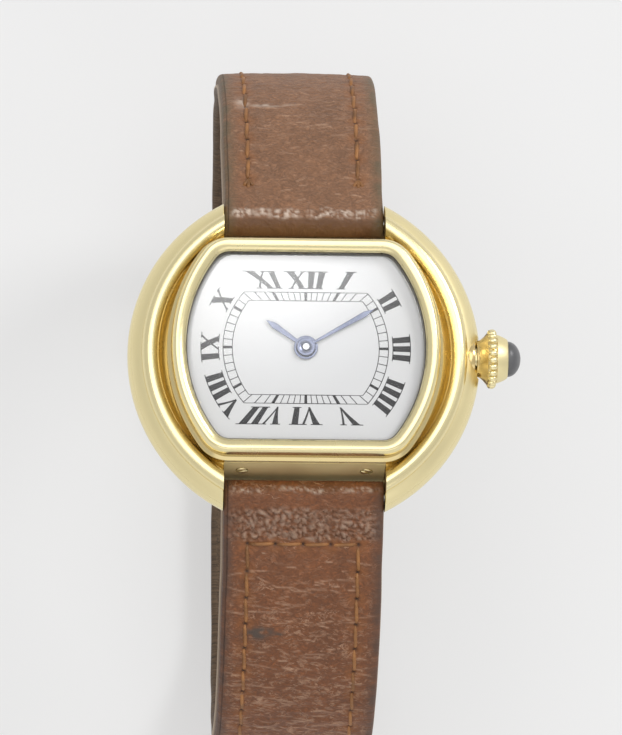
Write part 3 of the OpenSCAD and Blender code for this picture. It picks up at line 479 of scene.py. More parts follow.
def grained_leather(name, colour, edge):
    """Aniline-dyed calf, fine-grained and worn: grain about 0.3 mm across drawn out across the strap, crossing
    creases where it bends, painted pale as highlights along their ridges, edges rubbed to the edge colour, dark
    stains, painted shade in the stitch holes, on the rolled end and in the creases between the puffs, painted
    highlight flakes where it rolls and pale scuffs, a raw pale lining edge over a dark lining, and a painted
    sheen on the high wrinkles, which are also less rough there. The pattern is in mm on the piece's own map;
    the marks edge, rim, lining, crease, fine, drawn, channel, stain, shine, flake, roll and pit come from the
    mesh."""
    mat, tree, shader = new_material(name)
    flat = add(tree, "ShaderNodeUVMap", uv_map="surface").outputs["UV"]
    warp = add(tree, "ShaderNodeTexNoise", {"Vector": flat, "Scale": 0.8, "Detail": 3.0})
    bent = add(tree, "ShaderNodeVectorMath", {0: warp.outputs["Color"], 1: (1.3, 1.3, 1.3)}, operation="MULTIPLY")
    place = add(tree, "ShaderNodeVectorMath", {0: flat, 1: bent.outputs[0]}, operation="ADD").outputs[0]
    drawn = add(tree, "ShaderNodeMapping", {"Vector": place, "Scale": (0.55, 1.0, 1.0)}).outputs[0]
    pebble = add(tree, "ShaderNodeTexVoronoi", {"Vector": drawn, "Scale": 3.4, "Smoothness": 0.6},
                 feature="SMOOTH_F1").outputs["Distance"]
    pore = cloud(tree, 7.0, 4.0, 0.65, drawn)
    # Creases: contour lines of noise drawn out across the strap, broken into short lengths by a second noise. They
    # raise the relief and are painted pale as highlights along their ridges
    line, relief = 0.0, maths(tree, "MULTIPLY_ADD", pore, 0.7, maths(tree, "MULTIPLY", pebble, -0.9))
    for scale, width, low, key in ((0.6, 0.016, 0.5, "crease"), (2.0, 0.05, 0.46, "fine")):
        across = add(tree, "ShaderNodeMapping", {"Vector": place, "Scale": (0.3 * scale, 1.3 * scale, 1.0),
                                                "Rotation": (0, 0, 0.16 / scale)}).outputs[0]
        ridge = maths(tree, "ABSOLUTE", maths(tree, "SUBTRACT", cloud(tree, 1.0, 4.0, 0.6, across), 0.5))
        shown = spread(tree, cloud(tree, 0.75 * scale, at=flat), low, low + 0.12)
        thin = maths(tree, "MULTIPLY", spread(tree, ridge, 0.0, width, 1.0, 0.0), shown)
        line = maths(tree, "MAXIMUM", line, maths(tree, "MULTIPLY", thin, mark(tree, key)))
    relief = maths(tree, "MULTIPLY_ADD", line, 0.5, relief)
    tone = ramp(tree, cloud(tree, 0.3, 5.0, at=flat), [(0.32, scaled(colour, 0.86)), (0.68, scaled(colour, 1.12))])
    speck = spread(tree, pore, 0.32, 0.68, 0.7, 1.26)
    speck = maths(tree, "MULTIPLY", speck, spread(tree, pebble, 0.1, 0.5, 1.12, 0.84))
    tone = mixed(tree, 1.0, tone, speck, "MULTIPLY")
    # Painted highlight: the crease lines are mixed toward a pale tone
    tone = mixed(tree, maths(tree, "MULTIPLY", line, 0.8), tone, rgb("#CDA283"))
    mottled = ramp(tree, pore, [(0.35, rgb("#3E2F20")), (0.62, rgb("#6E5842"))])
    # drawn: the drawn creases painted pale as highlights
    for key, share, shade in (("drawn", 0.85, rgb("#C39C80")), ("channel", 0.4, rgb("#945B2A")),
                              # stain: real dark stains and painted shade between the puffs; roll: painted shade on
                              # the rolled end
                              ("stain", 0.9, rgb("#4A4038")), ("roll", 0.8, rgb("#5C3A1C")),
                              # shine: a painted sheen, with lower roughness; flake: painted highlight flakes, and
                              # pale scuffs
                              ("shine", 0.55, rgb("#AC917A")), ("highlight_flake_and_scuff", 0.9, rgb("#DCC8B8")),
                              # pit: painted shade in the stitch holes
                              ("edge", 0.75, edge), ("pit", 1.0, rgb("#26160D")), ("lining", 1.0, mottled),
                              ("rim", 1.0, rgb("#C4AF98"))):
        tone = mixed(tree, mark(tree, key, share), tone, shade)
    gloss = spread(tree, mark(tree, "shine"), 0.0, 1.0, 0.5, 0.24)
    set_shader(shader, Base_Color=tone, IOR=1.5, Roughness=maths(tree, "MULTIPLY_ADD", pore, 0.14, gloss),
               Normal=bumped(tree, relief, 1.0, 0.00007))
    return mat


def waxed_thread(colour):
    """Waxed linen thread: two plies, twisted, so a slanting rib every 0.25 mm, darker where it is soiled."""
    mat, tree, shader = new_material("waxed linen thread")
    ply = add(tree, "ShaderNodeTexWave", {"Vector": own_place(tree), "Scale": 1300.0, "Distortion": 2.0},
              bands_direction="DIAGONAL").outputs["Fac"]
    tone = ramp(tree, cloud(tree, 500.0, 3.0), [(0.35, scaled(colour, 0.5)), (0.6, colour)])
    set_shader(shader, Base_Color=tone, Roughness=0.55, Normal=bumped(tree, ply, 0.5, 0.00004))
    return mat


def studio_paper():
    """Seamless studio paper: pale and matt. To the camera and in reflections it shows mostly its own tone, with
    a share of the real light, so that the shadow stays."""
    mat, tree, shader = new_material("seamless studio paper")
    tone = ramp(tree, cloud(tree, 25.0), [(0.3, rgb("#ECECEC")), (0.7, rgb("#F0F0F0"))])
    set_shader(shader, Base_Color=tone, Roughness=0.9)
    path = add(tree, "ShaderNodeLightPath").outputs
    seen = maths(tree, "MAXIMUM", path["Is Camera Ray"], path["Is Glossy Ray"])
    own = add(tree, "ShaderNodeEmission", {"Color": rgb("#F4F4F4"), "Strength": 1.0})
    mix_surface(tree, maths(tree, "MULTIPLY", seen, 0.5), shader, own)
    return mat


FINISHES = {}


def finish_named(key):
    """The material of that key, made once from the scene's settings."""
    if key not in FINISHES:
        case, dial, strap = (getattr(bpy.context.scene, group) for group in GROUPS)
        gold = tuple(case.gold)
        makers = {
            "gold": lambda: yellow_gold("polished yellow gold", gold, 0.21, 0.3),
            "case gold": lambda: yellow_gold("polished gold, satin end walls", gold, 0.21, 0.3, True,
                                             (11.8, 12.35)),
            "bezel gold": lambda: yellow_gold("polished gold, bezel", gold, 0.21, 0.3, False,
                                              (BEZEL_LOW[2] + 0.6, BEZEL_LOW[2] + 1.1)),
            # Gold darkened all over as painted shade, for the crown's neck and the collar round it
            "deep gold": lambda: yellow_gold("gold, darkened as painted shade", rgb("#DCC48C"), 0.2, 0.28),
            "satin": lambda: yellow_gold("satin yellow gold", gold, 0.38, 0.48),
            "steel": lambda: machined_metal("turned steel", rgb("#C4C6C9"), 0.25, 0.1),
            "brass": lambda: machined_metal("gilt brass", rgb("#D2B267"), 0.35, 0.15),
            # Carbon steel polished and heat-blued: a deep violet-blue oxide over bright metal
            "blued": lambda: drifting("heat-blued steel", 350.0, 2.0, (0.35, rgb("#5E657C")),
                                      (0.65, rgb("#7B8198")), Metallic=1.0, Roughness=0.28),
            # Pad-printed enamel ink: dark grey, faintly uneven, half gloss
            "ink": lambda: drifting("printed dial ink", 5000.0, 2.0, (0.3, tuple(dial.print_colour)),
                                    (0.8, rgb("#232326")), Roughness=0.6, Specular_IOR_Level=0.2),
            # A worn grey cabochon: half gloss, nearly opaque, with a cloudy depth
            "stone": lambda: drifting("worn grey cabochon", 900.0, 3.0, (0.3, rgb("#555557")),
                                      (0.7, rgb("#69696B")), Roughness=0.34, IOR=1.5),
            # Moulded gasket: matt and slightly uneven
            "rubber": lambda: drifting("moulded gasket rubber", 2000.0, 2.0, (0.3, rgb("#2A231A")),
                                       (0.7, rgb("#3A3226")), Roughness=0.7),
            "dial": lambda: silvered_dial(tuple(dial.dial_colour)),
            "crystal": clear_crystal,
            "leather_upper": lambda: grained_leather("calf leather, upper", tuple(strap.upper_leather),
                                                     rgb("#625842")),
            "leather_lower": lambda: grained_leather("calf leather, lower", tuple(strap.lower_leather),
                                                     rgb("#4C3A30")),
            "thread": lambda: waxed_thread(tuple(strap.thread)),
            "paper": studio_paper,
        }
        FINISHES[key] = makers[key]()
    return FINISHES[key]


# Case

def softened(node, width, body):
    """A gold copy of a CAD node with its doubles merged and its sharp edges rounded by width."""
    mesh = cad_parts[node].data.copy()
    work = bmesh.new()
    work.from_mesh(mesh)
    bmesh.ops.remove_doubles(work, verts=work.verts, dist=1e-7)
    bmesh.ops.dissolve_limit(work, angle_limit=math.radians(0.5), verts=work.verts, edges=work.edges)
    work.to_mesh(mesh)
    work.free()
    mesh.materials.clear()
    mesh.materials.append(finish_named("gold"))
    mesh.shade_smooth()
    thing = linked(node + "_finished", mesh)
    bevel = thing.modifiers.new("rounded edges", "BEVEL")
    bevel.width = width * MM
    bevel.segments = 3
    bevel.angle_limit = math.radians(35)
    bevel.harden_normals = True
    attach(thing, body)
    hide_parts(node)


def dress(finish, *names):
    """Gives CAD nodes their finish."""
    for name in names:
        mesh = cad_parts[name].data
        mesh.materials.clear()
        mesh.materials.append(finish_named(finish))


def make_bezel():
    """The half-round ring: a profile carried round the truncated oval. The profile rises on a quarter ellipse
    inside, falls on a taller one outside, and ends in a thin ledge that slopes down into the groove."""
    size = bpy.context.scene.watch_case
    ring_w, edge = size.bezel_w, size.ledge_w
    seat, crest = BEZEL_LOW[2], BEZEL_HIGH[2]
    lip, ledge, foot = seat + 1.4, seat + 0.45, 0.57
    # Distance of the crest from the opening, and the depth of the round on its inner and its outer side
    crest_at, inner_fall, outer_fall = 0.78, 0.6, 1
    # Radius where the ring meets the ledge
    r = 0.06
    profile = np.concatenate([
        [[foot, lip], [0.3, lip], [0.03, lip], [0.0, lip + 0.03], [0.0, crest - inner_fall]],
        arc(crest_at, crest - inner_fall, crest_at, inner_fall, 180, 90, 18)[1:],
        arc(crest_at, crest - outer_fall, ring_w - crest_at, outer_fall, 90, 0, 20)[1:],
        [[ring_w, ledge + 0.25]],
        arc(ring_w + r, ledge + 0.04, r, r, 180, 235, 4)[1:],
        [[edge - 0.06, ledge - 0.18], [edge - 0.02, ledge - 0.22], [edge, ledge - 0.27], [edge, seat + 0.02],
         [edge - 0.02, seat], [1.0, seat], [foot, seat]],
    ])
    place, facing = oval_line(size, 480)
    ring = put("bezel_ring", carried(place, facing, profile), grid_faces(len(place), len(profile), True, True),
               "case", "gold", "bezel gold")
    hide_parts("bezel")


def make_shoulders():
    """The soft shoulders of the case side, left and right of the strap slots: an ellipse arc from the widest
    line up to the upper tube, turned round the case as far as the slots' cheeks, with a flat where the crown's
    neck goes in."""
    # The ends stay 0.04 mm behind the slots' cheeks, because two faces in one plane would render black
    widest, cheek = CASE_HIGH[0], 6.54
    # Height of the widest line, and half axes of the ellipse
    widest_z, reach, rise = 2.6, 2.14, 1.95
    # Radius and depth of the flat at the crown
    flat_r, flat_x = 1.56, widest - 0.36
    profile = np.concatenate([arc(widest - reach, widest_z, reach, rise, 0, 61, 26),
                              [[widest - 1.25, 4.2], [widest - 1.6, 3.6], [widest - 0.8, widest_z]]])
    r, z = profile[None, :, 0], profile[None, :, 1]
    turn = np.linspace(-1, 1, 420)[:, None] * np.arccos(cheek / r)
    for name, way in (("left", -1), ("right", 1)):
        x, y = r * np.cos(turn), r * np.sin(turn)
        if way > 0:
            x = np.where(np.hypot(y, z - CROWN_Z) < flat_r, np.minimum(x, flat_x), x)
        points = np.stack([way * x, way * y, z + 0 * y], -1)
        shoulder = put("case_shoulder_" + name, points, ring_faces(*points.shape[:2]), "case", "gold", "satin")
        # The flat ends at the slots meet the round face in a crisp edge
        shoulder.data.set_sharp_from_angle(angle=math.radians(50))
    # A plain collar carries the case on to the crown's neck, in gold darkened as painted shade
    bore, collar_r, back_x, chamfer = 1.0, 1.42, widest - 1.2, 0.03
    collar = np.array([[bore, back_x], [collar_r, back_x], [collar_r, flat_x - chamfer],
                       [collar_r - chamfer, flat_x], [bore, flat_x]])
    put_turned("case_collar", collar, 96, "case", "gold", "deep gold")


def make_screws():
    """The four end screws: each head lies flat in the sloping end wall, a chamfered disc cut in two by its slot,
    on a lower disc that shows in the slot."""
    low, high = box_mm("end_screws")
    x0, face_y, z0 = high[0] - 0.5, high[1], (low[2] + high[2]) / 2
    lean = math.atan2(0.7, 2.9)
    radius, slot_half = 0.45, 0.09
    start = math.degrees(math.asin(slot_half / radius))
    # Outlines with their layers as (height over the wall, scale)
    shapes = [(arc(0, 0, radius, radius, 0, 360, 41)[:-1], ((-0.25, 1.0), (-0.1, 1.0)))]
    for way in (1, -1):
        shapes.append((arc(0, 0, radius, radius, start, 180 - start, 20) * way,
                       ((-0.12, 1.0), (0.02, 1.0), (0.05, 0.9))))
    parts = []
    for sx, sy, turn in ((-1, -1, 0.35), (1, -1, -0.6), (-1, 1, 1.2), (1, 1, 0.2)):
        c, n = math.cos(turn), math.sin(turn)
        for shape, layers in shapes:
            flat = np.stack([shape[:, 0] * c - shape[:, 1] * n, shape[:, 0] * n + shape[:, 1] * c], -1)
            middle = flat.mean(0)
            rows = []
            for out, scale in layers:
                u, v = (middle + (flat - middle) * scale).T
                rows.append(np.stack([sx * x0 + u, sy * (face_y + out * math.cos(lean) - v * math.sin(lean)),
                                      z0 + out * math.sin(lean) + v * math.cos(lean)], -1))
            parts.append((rows, ring_faces(len(rows), len(shape))))
    heads = put("end_screw_heads", *join_parts(parts), "case", "gold", "satin", weld=0.0001)
    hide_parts("end_screws")


def make_crystal():
    """The crystal: the oval outline shrunk towards the centre in rings. Its top is a shallow dome, lower by a
    share of the squares of x and y, its rim is chamfered and the hollow under it follows the dome."""
    seat, top = CRYSTAL_LOW[2], CRYSTAL_HIGH[2]
    # Top of the flange, its width past the opening, and how far the upright rim and the dome stay inside
    lip, flange, rim_in, dome_in = seat + 0.4, 0.5, 0.07, 0.1
    # Distances from the middle, along x and y, at which the dome has fallen by its bulge and by 0.7 of it
    dome_x, dome_y = 9.45, 7.55
    place, facing = oval_line(bpy.context.scene.watch_case, 320)
    shares = np.linspace(1, 0, 30)[:, None, None]

    def domed(shares, level, bulge):
        """Rings at shares of the outline, on a dome that falls from the level to its edge."""
        ring = (place - facing * dome_in) * shares
        fall = bulge * ((ring[..., :1] / dome_x) ** 2 + 0.7 * (ring[..., 1:] / dome_y) ** 2)
        return np.concatenate([ring, level - fall], -1)

    under, over = domed(shares[::-1], lip + 0.1, 0.12), domed(shares, top, 0.3)
    sides = [np.column_stack([place + facing * out, z + np.zeros(len(place))]) for out, z in (
        (-dome_in, seat), (flange, seat), (flange, lip), (-rim_in, lip), (-rim_in, over[0, :, 2] - 0.03))]
    rings = np.concatenate([under, sides, over])
    glass = put("crystal_dome", rings, grid_faces(len(rings), len(place), False, True), "case", "crystal",
                "crystal")
    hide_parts("crystal")
    # The gasket's thin dark edge shows between the glass and the ring, made dark to paint the shadow in the gap
    # there
    edge = np.array([[-0.07, 0.02], [-0.07, 0.07], [-0.05, 0.09], [-0.02, 0.09], [-0.005, 0.07],
                     [-0.005, 0.02]]) + [0, lip]
    put("crystal_gasket_and_gap_shadow", carried(place, facing, edge), grid_faces(len(place), len(edge), True, True),
        "case", "gasket", "rubber")


# Dial print

def oval_reach(angle, half_w, half_h, side_r):
    """How far a ray from the centre at angle (clockwise from twelve) runs to a truncated oval."""
    x, y = np.sin(angle), np.cos(angle)
    straight = half_h / np.maximum(np.abs(y), 1e-9)
    side_x = half_w - side_r
    toward = np.abs(x) * side_x
    curved = toward + np.sqrt(toward ** 2 - side_x ** 2 + side_r ** 2)
    return np.minimum(straight, curved)


# The print reaches into the dial: its whole depth as a share of its height over the dial
INK_DEPTH = 1.5


def printed_patch(angle, rise, inner, outer):
    """A thin plate of print over a grid of rays between two truncated ovals: rise is 0 on the inner one and 1
    on the outer."""
    ink = bpy.context.scene.watch_dial.ink_t
    reach = oval_reach(angle, *inner) * (1 - rise) + oval_reach(angle, *outer) * rise
    top = np.stack([reach * np.sin(angle), reach * np.cos(angle), DIAL_HIGH[2] + ink + 0 * angle], -1)
    return slab(top.transpose(1, 0, 2), ink * INK_DEPTH)


# Strokes of the numerals: left foot, right foot, left head, right head in mm, from the glyph's left
BAR, GAP, SERIF = 0.46, 0.27, 0.16
GLYPHS = {
    "I": (BAR, [(0, BAR, 0, BAR)]),
    "V": (1.3, [(0.62, 0.78, 0.0, 0.5), (0.62, 0.74, 1.12, 1.3)]),
    "X": (1.3, [(0.84, 1.3, 0.0, 0.5), (0.0, 0.16, 1.12, 1.28)]),
}


def numeral_strokes(word):
    """Strokes and serifs of a Roman numeral, centred: each is (left foot, right foot, left head, right head)
    with the rise of its foot and of its head."""
    strokes, at = [], 0.0
    for letter in word:
        width, parts = GLYPHS[letter]
        for foot_a, foot_b, head_a, head_b in parts:
            strokes.append((at + foot_a, at + foot_b, at + head_a, at + head_b, 0.0, 1.0))
            for rise, a, b in ((0.0, foot_a, foot_b), (1.0, head_a, head_b)):
                if letter == "V" and rise == 0.0:
                    continue
                low, high = (0.0, 0.045) if rise == 0 else (0.955, 1.0)
                strokes.append((at + a - SERIF, at + b + SERIF, at + a - SERIF, at + b + SERIF, low, high))
        at += width + GAP
    half = (at - GAP) / 2
    return [(a - half, b - half, c - half, d - half, low, high) for a, b, c, d, low, high in strokes]


def make_numerals():
    """Twelve Roman numerals: strokes run along rays from the dial's centre, between two truncated ovals."""
    size = bpy.context.scene.watch_dial
    # Half width, half height and radius of the sides of each oval
    inner = (size.numeral_in_w, size.numeral_in_h, 7.3)
    outer = (size.numeral_out_w, size.numeral_out_h, 8.8)
    across = np.linspace(0, 1, 5)[:, None]
    parts = []
    for hour, word in enumerate("XII I II III IIII V VI VII VIII IX X XI".split()):
        turn = math.radians(30 * hour)
        middle = 0.5 * (oval_reach(turn, *inner) + oval_reach(turn, *outer))
        # On the straight sides a stroke's width is measured along the side, not square to the ray
        lean = abs(math.cos(turn)) if hour in (1, 5, 7, 11) else 1.0
        for a, b, c, d, low, high in numeral_strokes(word):
            rise = np.linspace(low, high, 7)[None, :]
            left, right = a + (c - a) * rise, b + (d - b) * rise
            angle = turn + (left + (right - left) * across) * lean / middle
            parts.append(printed_patch(angle, rise, inner, outer))
    put("dial_numerals", *join_parts(parts), "case", "dial", "ink", weld=0)


def make_minute_ring():
    """The railway ring: two thin lines on truncated ovals and sixty rungs on rays from the centre, the
    five-minute ones thick."""
    size = bpy.context.scene.watch_dial
    inner = (size.ring_in_w, size.ring_in_h, 6.3)
    outer = (size.ring_out_w, size.ring_out_h, 7.0)
    face, depth = DIAL_HIGH[2] + size.ink_t, size.ink_t * INK_DEPTH
    line, rung, five = 0.06, 0.055, 0.2
    parts = []
    around = np.linspace(0, 2 * np.pi, 721)[:-1]
    for oval in (inner, outer):
        rings = []
        for side, drop in ((-1, 0), (1, 0), (1, depth), (-1, depth)):
            reach = oval_reach(around, *oval) + side * line / 2
            rings.append(np.stack([reach * np.sin(around), reach * np.cos(around), face - drop + 0 * around], -1))
        parts.append((rings, grid_faces(4, 720, True, True)))
    rise = np.linspace(0, 1, 4)[None, :]
    for minute in range(60):
        turn = math.radians(6 * minute)
        half = (rung if minute % 5 else five) / 2 / oval_reach(turn, *inner)
        parts.append(printed_patch(turn + np.array([[-half], [half]]) + 0 * rise, rise, inner, outer))
    put("dial_minute_ring", *join_parts(parts), "case", "dial", "ink", weld=0)


# Hands

def hand_blade(turn, z, thick, length, neck_w, wide_w, tip, start):
    """A hand's blade: its half width grows from the neck to the shoulder and falls to the point, and its
    section is a flat superellipse, so its edges are softly rounded."""
    along = np.concatenate([np.linspace(start, length - tip, 30), np.linspace(length - tip, length, 14)[1:]])
    width = np.interp(along, [start, length - tip, length], [neck_w, wide_w, 0.0])
    a = np.linspace(0, 2 * np.pi, 28, endpoint=False)
    side, up = (np.sign(wave) * np.abs(wave) ** power for wave, power in ((np.cos(a), 0.35), (np.sin(a), 0.5)))
    thin = np.clip(width / wide_w * 3, 0.02, 1)
    x = width[:, None] * side[None, :]
    h = z + thick / 2 * (1 + up[None, :] * thin[:, None])
    y = along[:, None] + 0 * x
    c, s = math.cos(turn), math.sin(turn)
    return np.stack([x * c + y * s, -x * s + y * c, h], -1), ring_faces(len(along), len(a))


def hub(radius, bore, z, thick):
    """A hand's boss: a ring with rounded rims, turned about the centre."""
    r, count = min(0.05, thick / 2.5), 72
    profile = np.concatenate([
        arc(radius - r, z + r, r, r, -90, 0, 5),
        arc(radius - r, z + thick - r, r, r, 0, 90, 5),
        [[bore, z + thick], [bore, z]],
    ])
    return turned(profile, count), grid_faces(count, len(profile), True, True)


def make_hands():
    """Hour and minute hand, with the bright end of the cannon pinion in the middle."""
    shown = bpy.context.scene.watch_dial.show_minutes
    # Each hand's angle, length, half width at the neck and the shoulder, point, boss and bore
    for name, node, body, turn, length, neck, wide, tip, boss, bore in (
            ("hour_hand_blued", "hour_hand", "hour", shown / 60 % 12 * 30, 3.9, 0.14, 0.25, 0.76, 0.96, 0.5),
            ("minute_hand_blued", "minute_hand", "minute", shown % 60 * 6, 6.3, 0.1, 0.23, 0.85, 0.73, 0.26)):
        low, high = box_mm(node)
        z, thick = low[2], high[2] - low[2]
        blade = hand_blade(math.radians(turn), z, thick, length, neck, wide, tip, boss * 0.8)
        hand = put(name, *join_parts([blade, hub(boss, bore, z, thick)]), body, "hands", "blued", weld=0.0002)
        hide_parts(node)
    top, radius, bulge, count = PIN_HIGH[2], 0.259, 0.12, 48
    dome = np.concatenate([[[radius, top - 0.3]], arc(0, top - bulge, radius, bulge, 0, 90, 8)])
    faces = grid_faces(count, len(dome), True, False) + [[k * len(dome) for k in range(count)][::-1]]
    put("hand_pin", turned(dome, count), faces, "minute", "steel", "steel")


# Crown

def make_crown():
    """Crown: a turned body whose neck widens in a hollow curve up to the beads, a row of beads round its widest
    line, a satin cup that narrows toward the stone, and the domed stone in it."""
    base, cup_end = CROWN_LOW[0], CROWN_HIGH[0]
    radius, stone_r = (CROWN_HIGH[2] - CROWN_LOW[2]) / 2, (STONE_HIGH[2] - STONE_LOW[2]) / 2
    # Places of the beads, the cup and the end of the hollow for the tube, then the radii of the stem's bore and
    # of that hollow
    bead_x, cup_x, hollow_x, bore, hollow_r = base + 0.81, base + 1.52, base + 1.15, 0.46, 1.08
    t = np.linspace(0, 1, 16)
    neck = np.concatenate([
        [[hollow_r, hollow_x], [hollow_r, base - 0.06], [1.4, base - 0.06]],
        np.stack([1.43 + 0.72 * t ** 1.6, base - 0.03 + (bead_x - base + 0.03) * t], -1),
        [[2.08, cup_x - 0.06], [2.02, cup_x - 0.01], [bore, cup_x - 0.01], [bore, hollow_x]],
    ])
    cup = np.concatenate([
        [[bore, cup_x], [1.92, cup_x]],
        np.stack([1.97 - 0.28 * t - 0.12 * t ** 2.5, cup_x + (cup_end - 0.06 - cup_x) * t + 0.03], -1),
        [[stone_r + 0.07, cup_end], [stone_r + 0.01, cup_end - 0.02], [stone_r + 0.01, cup_end - 0.3],
         [bore, cup_end - 0.3]],
    ])
    # The neck's gold is darkened as painted shade
    for name, profile, finish in (("crown_neck", neck, "deep gold"), ("crown_cup", cup, "satin")):
        body = put_turned(name, profile, 160, "crown", "gold", finish)
        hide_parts("crown")
    count, bead, bead_half = 24, 0.27, 0.36
    lon = np.linspace(0, 2 * np.pi, 16, endpoint=False)[:, None]
    lat = np.linspace(-np.pi / 2, np.pi / 2, 11)[None, :]
    x = bead_half * np.sin(lat) + 0 * lon + (bead_x + cup_x) / 2
    y = bead * np.cos(lat) * np.cos(lon) + radius - bead
    z = bead * np.cos(lat) * np.sin(lon)
    parts = []
    for a in 2 * np.pi * np.arange(count) / count:
        c, s = math.cos(a), math.sin(a)
        parts.append((np.stack([x, y * c - z * s, y * s + z * c + CROWN_Z], -1), grid_faces(16, 11, True, False)))
    crown = put("crown_beaded", *join_parts(parts), "crown", "gold", "gold")
    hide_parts("crown")
    length, dome = STONE_HIGH[0] - STONE_LOW[0], 1.07
    # From the middle of the base out to the rim, and over the dome back to the axis
    shape = np.concatenate([[[0.0, 0.0], [stone_r, 0.0]], arc(0, length - dome, stone_r, dome, 0, 90, 24)])
    jewel = put_turned("crown_stone", shape, 96, "crown", "cabochon", "stone", STONE_LOW[0], False)
    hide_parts("crown_cabochon")


# Strap

def strap_route(sign, drop, end_y, tail_deg=None):
    """Side line of one strap half, evenly spaced: an ellipse from the case bar out to the widest line, a
    quarter ellipse down to the foot, the flat foot, and for the tail an arc up the other side. Given with the
    distances along it and the side its outer face lies on."""
    size = bpy.context.scene.watch_strap
    rise = (size.bar_z + size.loop_mid) / math.sqrt(1 - (size.bar_y / size.loop_half) ** 2)
    start = math.degrees(math.acos(size.bar_y / size.loop_half))
    reach = size.loop_half - size.foot_half
    foot = np.linspace(sign * size.foot_half, end_y, 100)
    route = [arc(0, -size.loop_mid, size.loop_half, rise, start, 0, 300) * [sign, 1],
             arc(size.foot_half, -size.loop_mid, reach, drop, 0, -90, 300)[1:] * [sign, 1],
             np.stack([foot, 0 * foot - size.loop_mid - drop], -1)[1:]]
    if tail_deg:
        route.append(arc(size.foot_half, -size.loop_mid, reach + size.layer_gap, drop, -90, -tail_deg, 100)[1:])
    route = np.concatenate(route)
    return route, run_along(route), -sign


def on_route(path, at):
    """Place, tangent and outward normal of the route at distances at. Past an end it runs straight on."""
    route, run, side = path
    step = 0.15
    inside = np.clip(at, run[0] + step, run[-1] - step)
    tangent = sampled(route, run, inside + step) - sampled(route, run, inside - step)
    tangent /= np.linalg.norm(tangent, axis=-1, keepdims=True)
    past = np.minimum(at - run[0], 0) + np.maximum(at - run[-1], 0)
    normal = np.stack([tangent[..., 1], -tangent[..., 0]], -1) * side
    return sampled(route, run, at) + tangent * past[..., None], tangent, normal


def strap_thickness(at):
    """Thickness of the strap at a distance from its case bar: thick at the roll, thin from the bend on."""
    size = bpy.context.scene.watch_strap
    rolled, thin_from = 2 * size.roll_r - 0.04, 27
    return size.thickness + (rolled - size.thickness) * np.clip(1 - at / thin_from, 0, 1) ** 2


def strap_breadth(at):
    """Width of the strap at a distance from its case bar."""
    size = bpy.context.scene.watch_strap
    taper_start, taper_length = 26, 26
    return size.width + (size.end_width - size.width) * np.clip((at - taper_start) / taper_length, 0, 1)


def section(top_count, low_count):
    """Outline of a section as rows: across and up (-1 to 1), and the corner rounding's share of each. Top,
    right, bottom and left in turn."""
    top = np.linspace(-1, 1, top_count)
    low = np.linspace(1, -1, low_count)[1:-1]
    flank = np.linspace(1, -1, 9)[1:-1]
    q = np.radians(np.linspace(90, 0, 6))
    rows = [(x, 1, 0, 1) for x in top]
    rows += [(1, 1, math.cos(t), math.sin(t)) for t in q[1:]]
    rows += [(1, y, 1, 0) for y in flank]
    rows += [(1, -1, math.cos(t), -math.sin(t)) for t in q[::-1]]
    rows += [(x, -1, 0, -1) for x in low]
    rows += [(-1, -1, -math.cos(t), -math.sin(t)) for t in q]
    rows += [(-1, y, -1, 0) for y in flank[::-1]]
    rows += [(-1, 1, -math.cos(t), math.sin(t)) for t in q[::-1][:-1]]
    return np.array(rows, float)


def cells(x, y, seed):
    """Rounded cells from 0 in the creases between them to 1 in their middles: the gap between the distances to
    the nearest and the second nearest of jittered lattice points."""
    xi, yi = np.floor(x), np.floor(y)
    first, second = np.full(x.shape, 9.0), np.full(x.shape, 9.0)
    for dx in (-1, 0, 1):
        for dy in (-1, 0, 1):
            a, b = xi + dx, yi + dy
            away = np.hypot(x - a - hashed(a, b, seed),
                            y - b - hashed(a, b, seed, (269.5, 183.3, 31.1, 24634.6345)))
            second = np.minimum(second, np.maximum(first, away))
            first = np.minimum(first, away)
    return np.clip((second - first) * 1.8, 0, 1)


def drawn_creases(x, along, rows, seed):
    """Crease lines from 0 to 1, painted pale as highlights on the leather: each is a bent line across the strap,
    drawn out of its own centre, angle and bend, broken by noise and thinning out at both ends. rows is rows of
    (count, start, end, shortest, longest, width)."""
    rng = np.random.default_rng(seed)
    total, half_w = 0 * x, 5.6
    for count, start, end, shortest, longest, width in rows:
        for _ in range(count):
            cx, cs = rng.uniform(-half_w, half_w), rng.uniform(start, end)
            half = rng.uniform(shortest, longest) / 2
            angle, bend, strength = rng.normal(0.06, 0.16), rng.normal(0, 0.06), rng.uniform(0.5, 1.0)
            near = np.flatnonzero(np.abs(along[:, 0] - cs) < half + 0.6)
            if not len(near):
                continue
            part = slice(near[0], near[-1] + 1)
            dx, ds = x[part] - cx, along[part] - cs
            u = dx * math.cos(angle) + ds * math.sin(angle)
            v = ds * math.cos(angle) - dx * math.sin(angle)
            wave = 0.3 * (noise(u * 1.3 + cx, 0 * u + cs, seed) - 0.5)
            gap = np.clip(noise(u * 2.2 + cs, 0 * u + cx, seed + 1) * 3 - 0.5, 0, 1)
            fade = np.clip((1 - np.abs(u) / half) * 2.5, 0, 1)
            total[part] = np.maximum(total[part], strength * gap * fade
                                     * np.exp(-((v - bend * u ** 2 - wave) / width) ** 2))
    return total


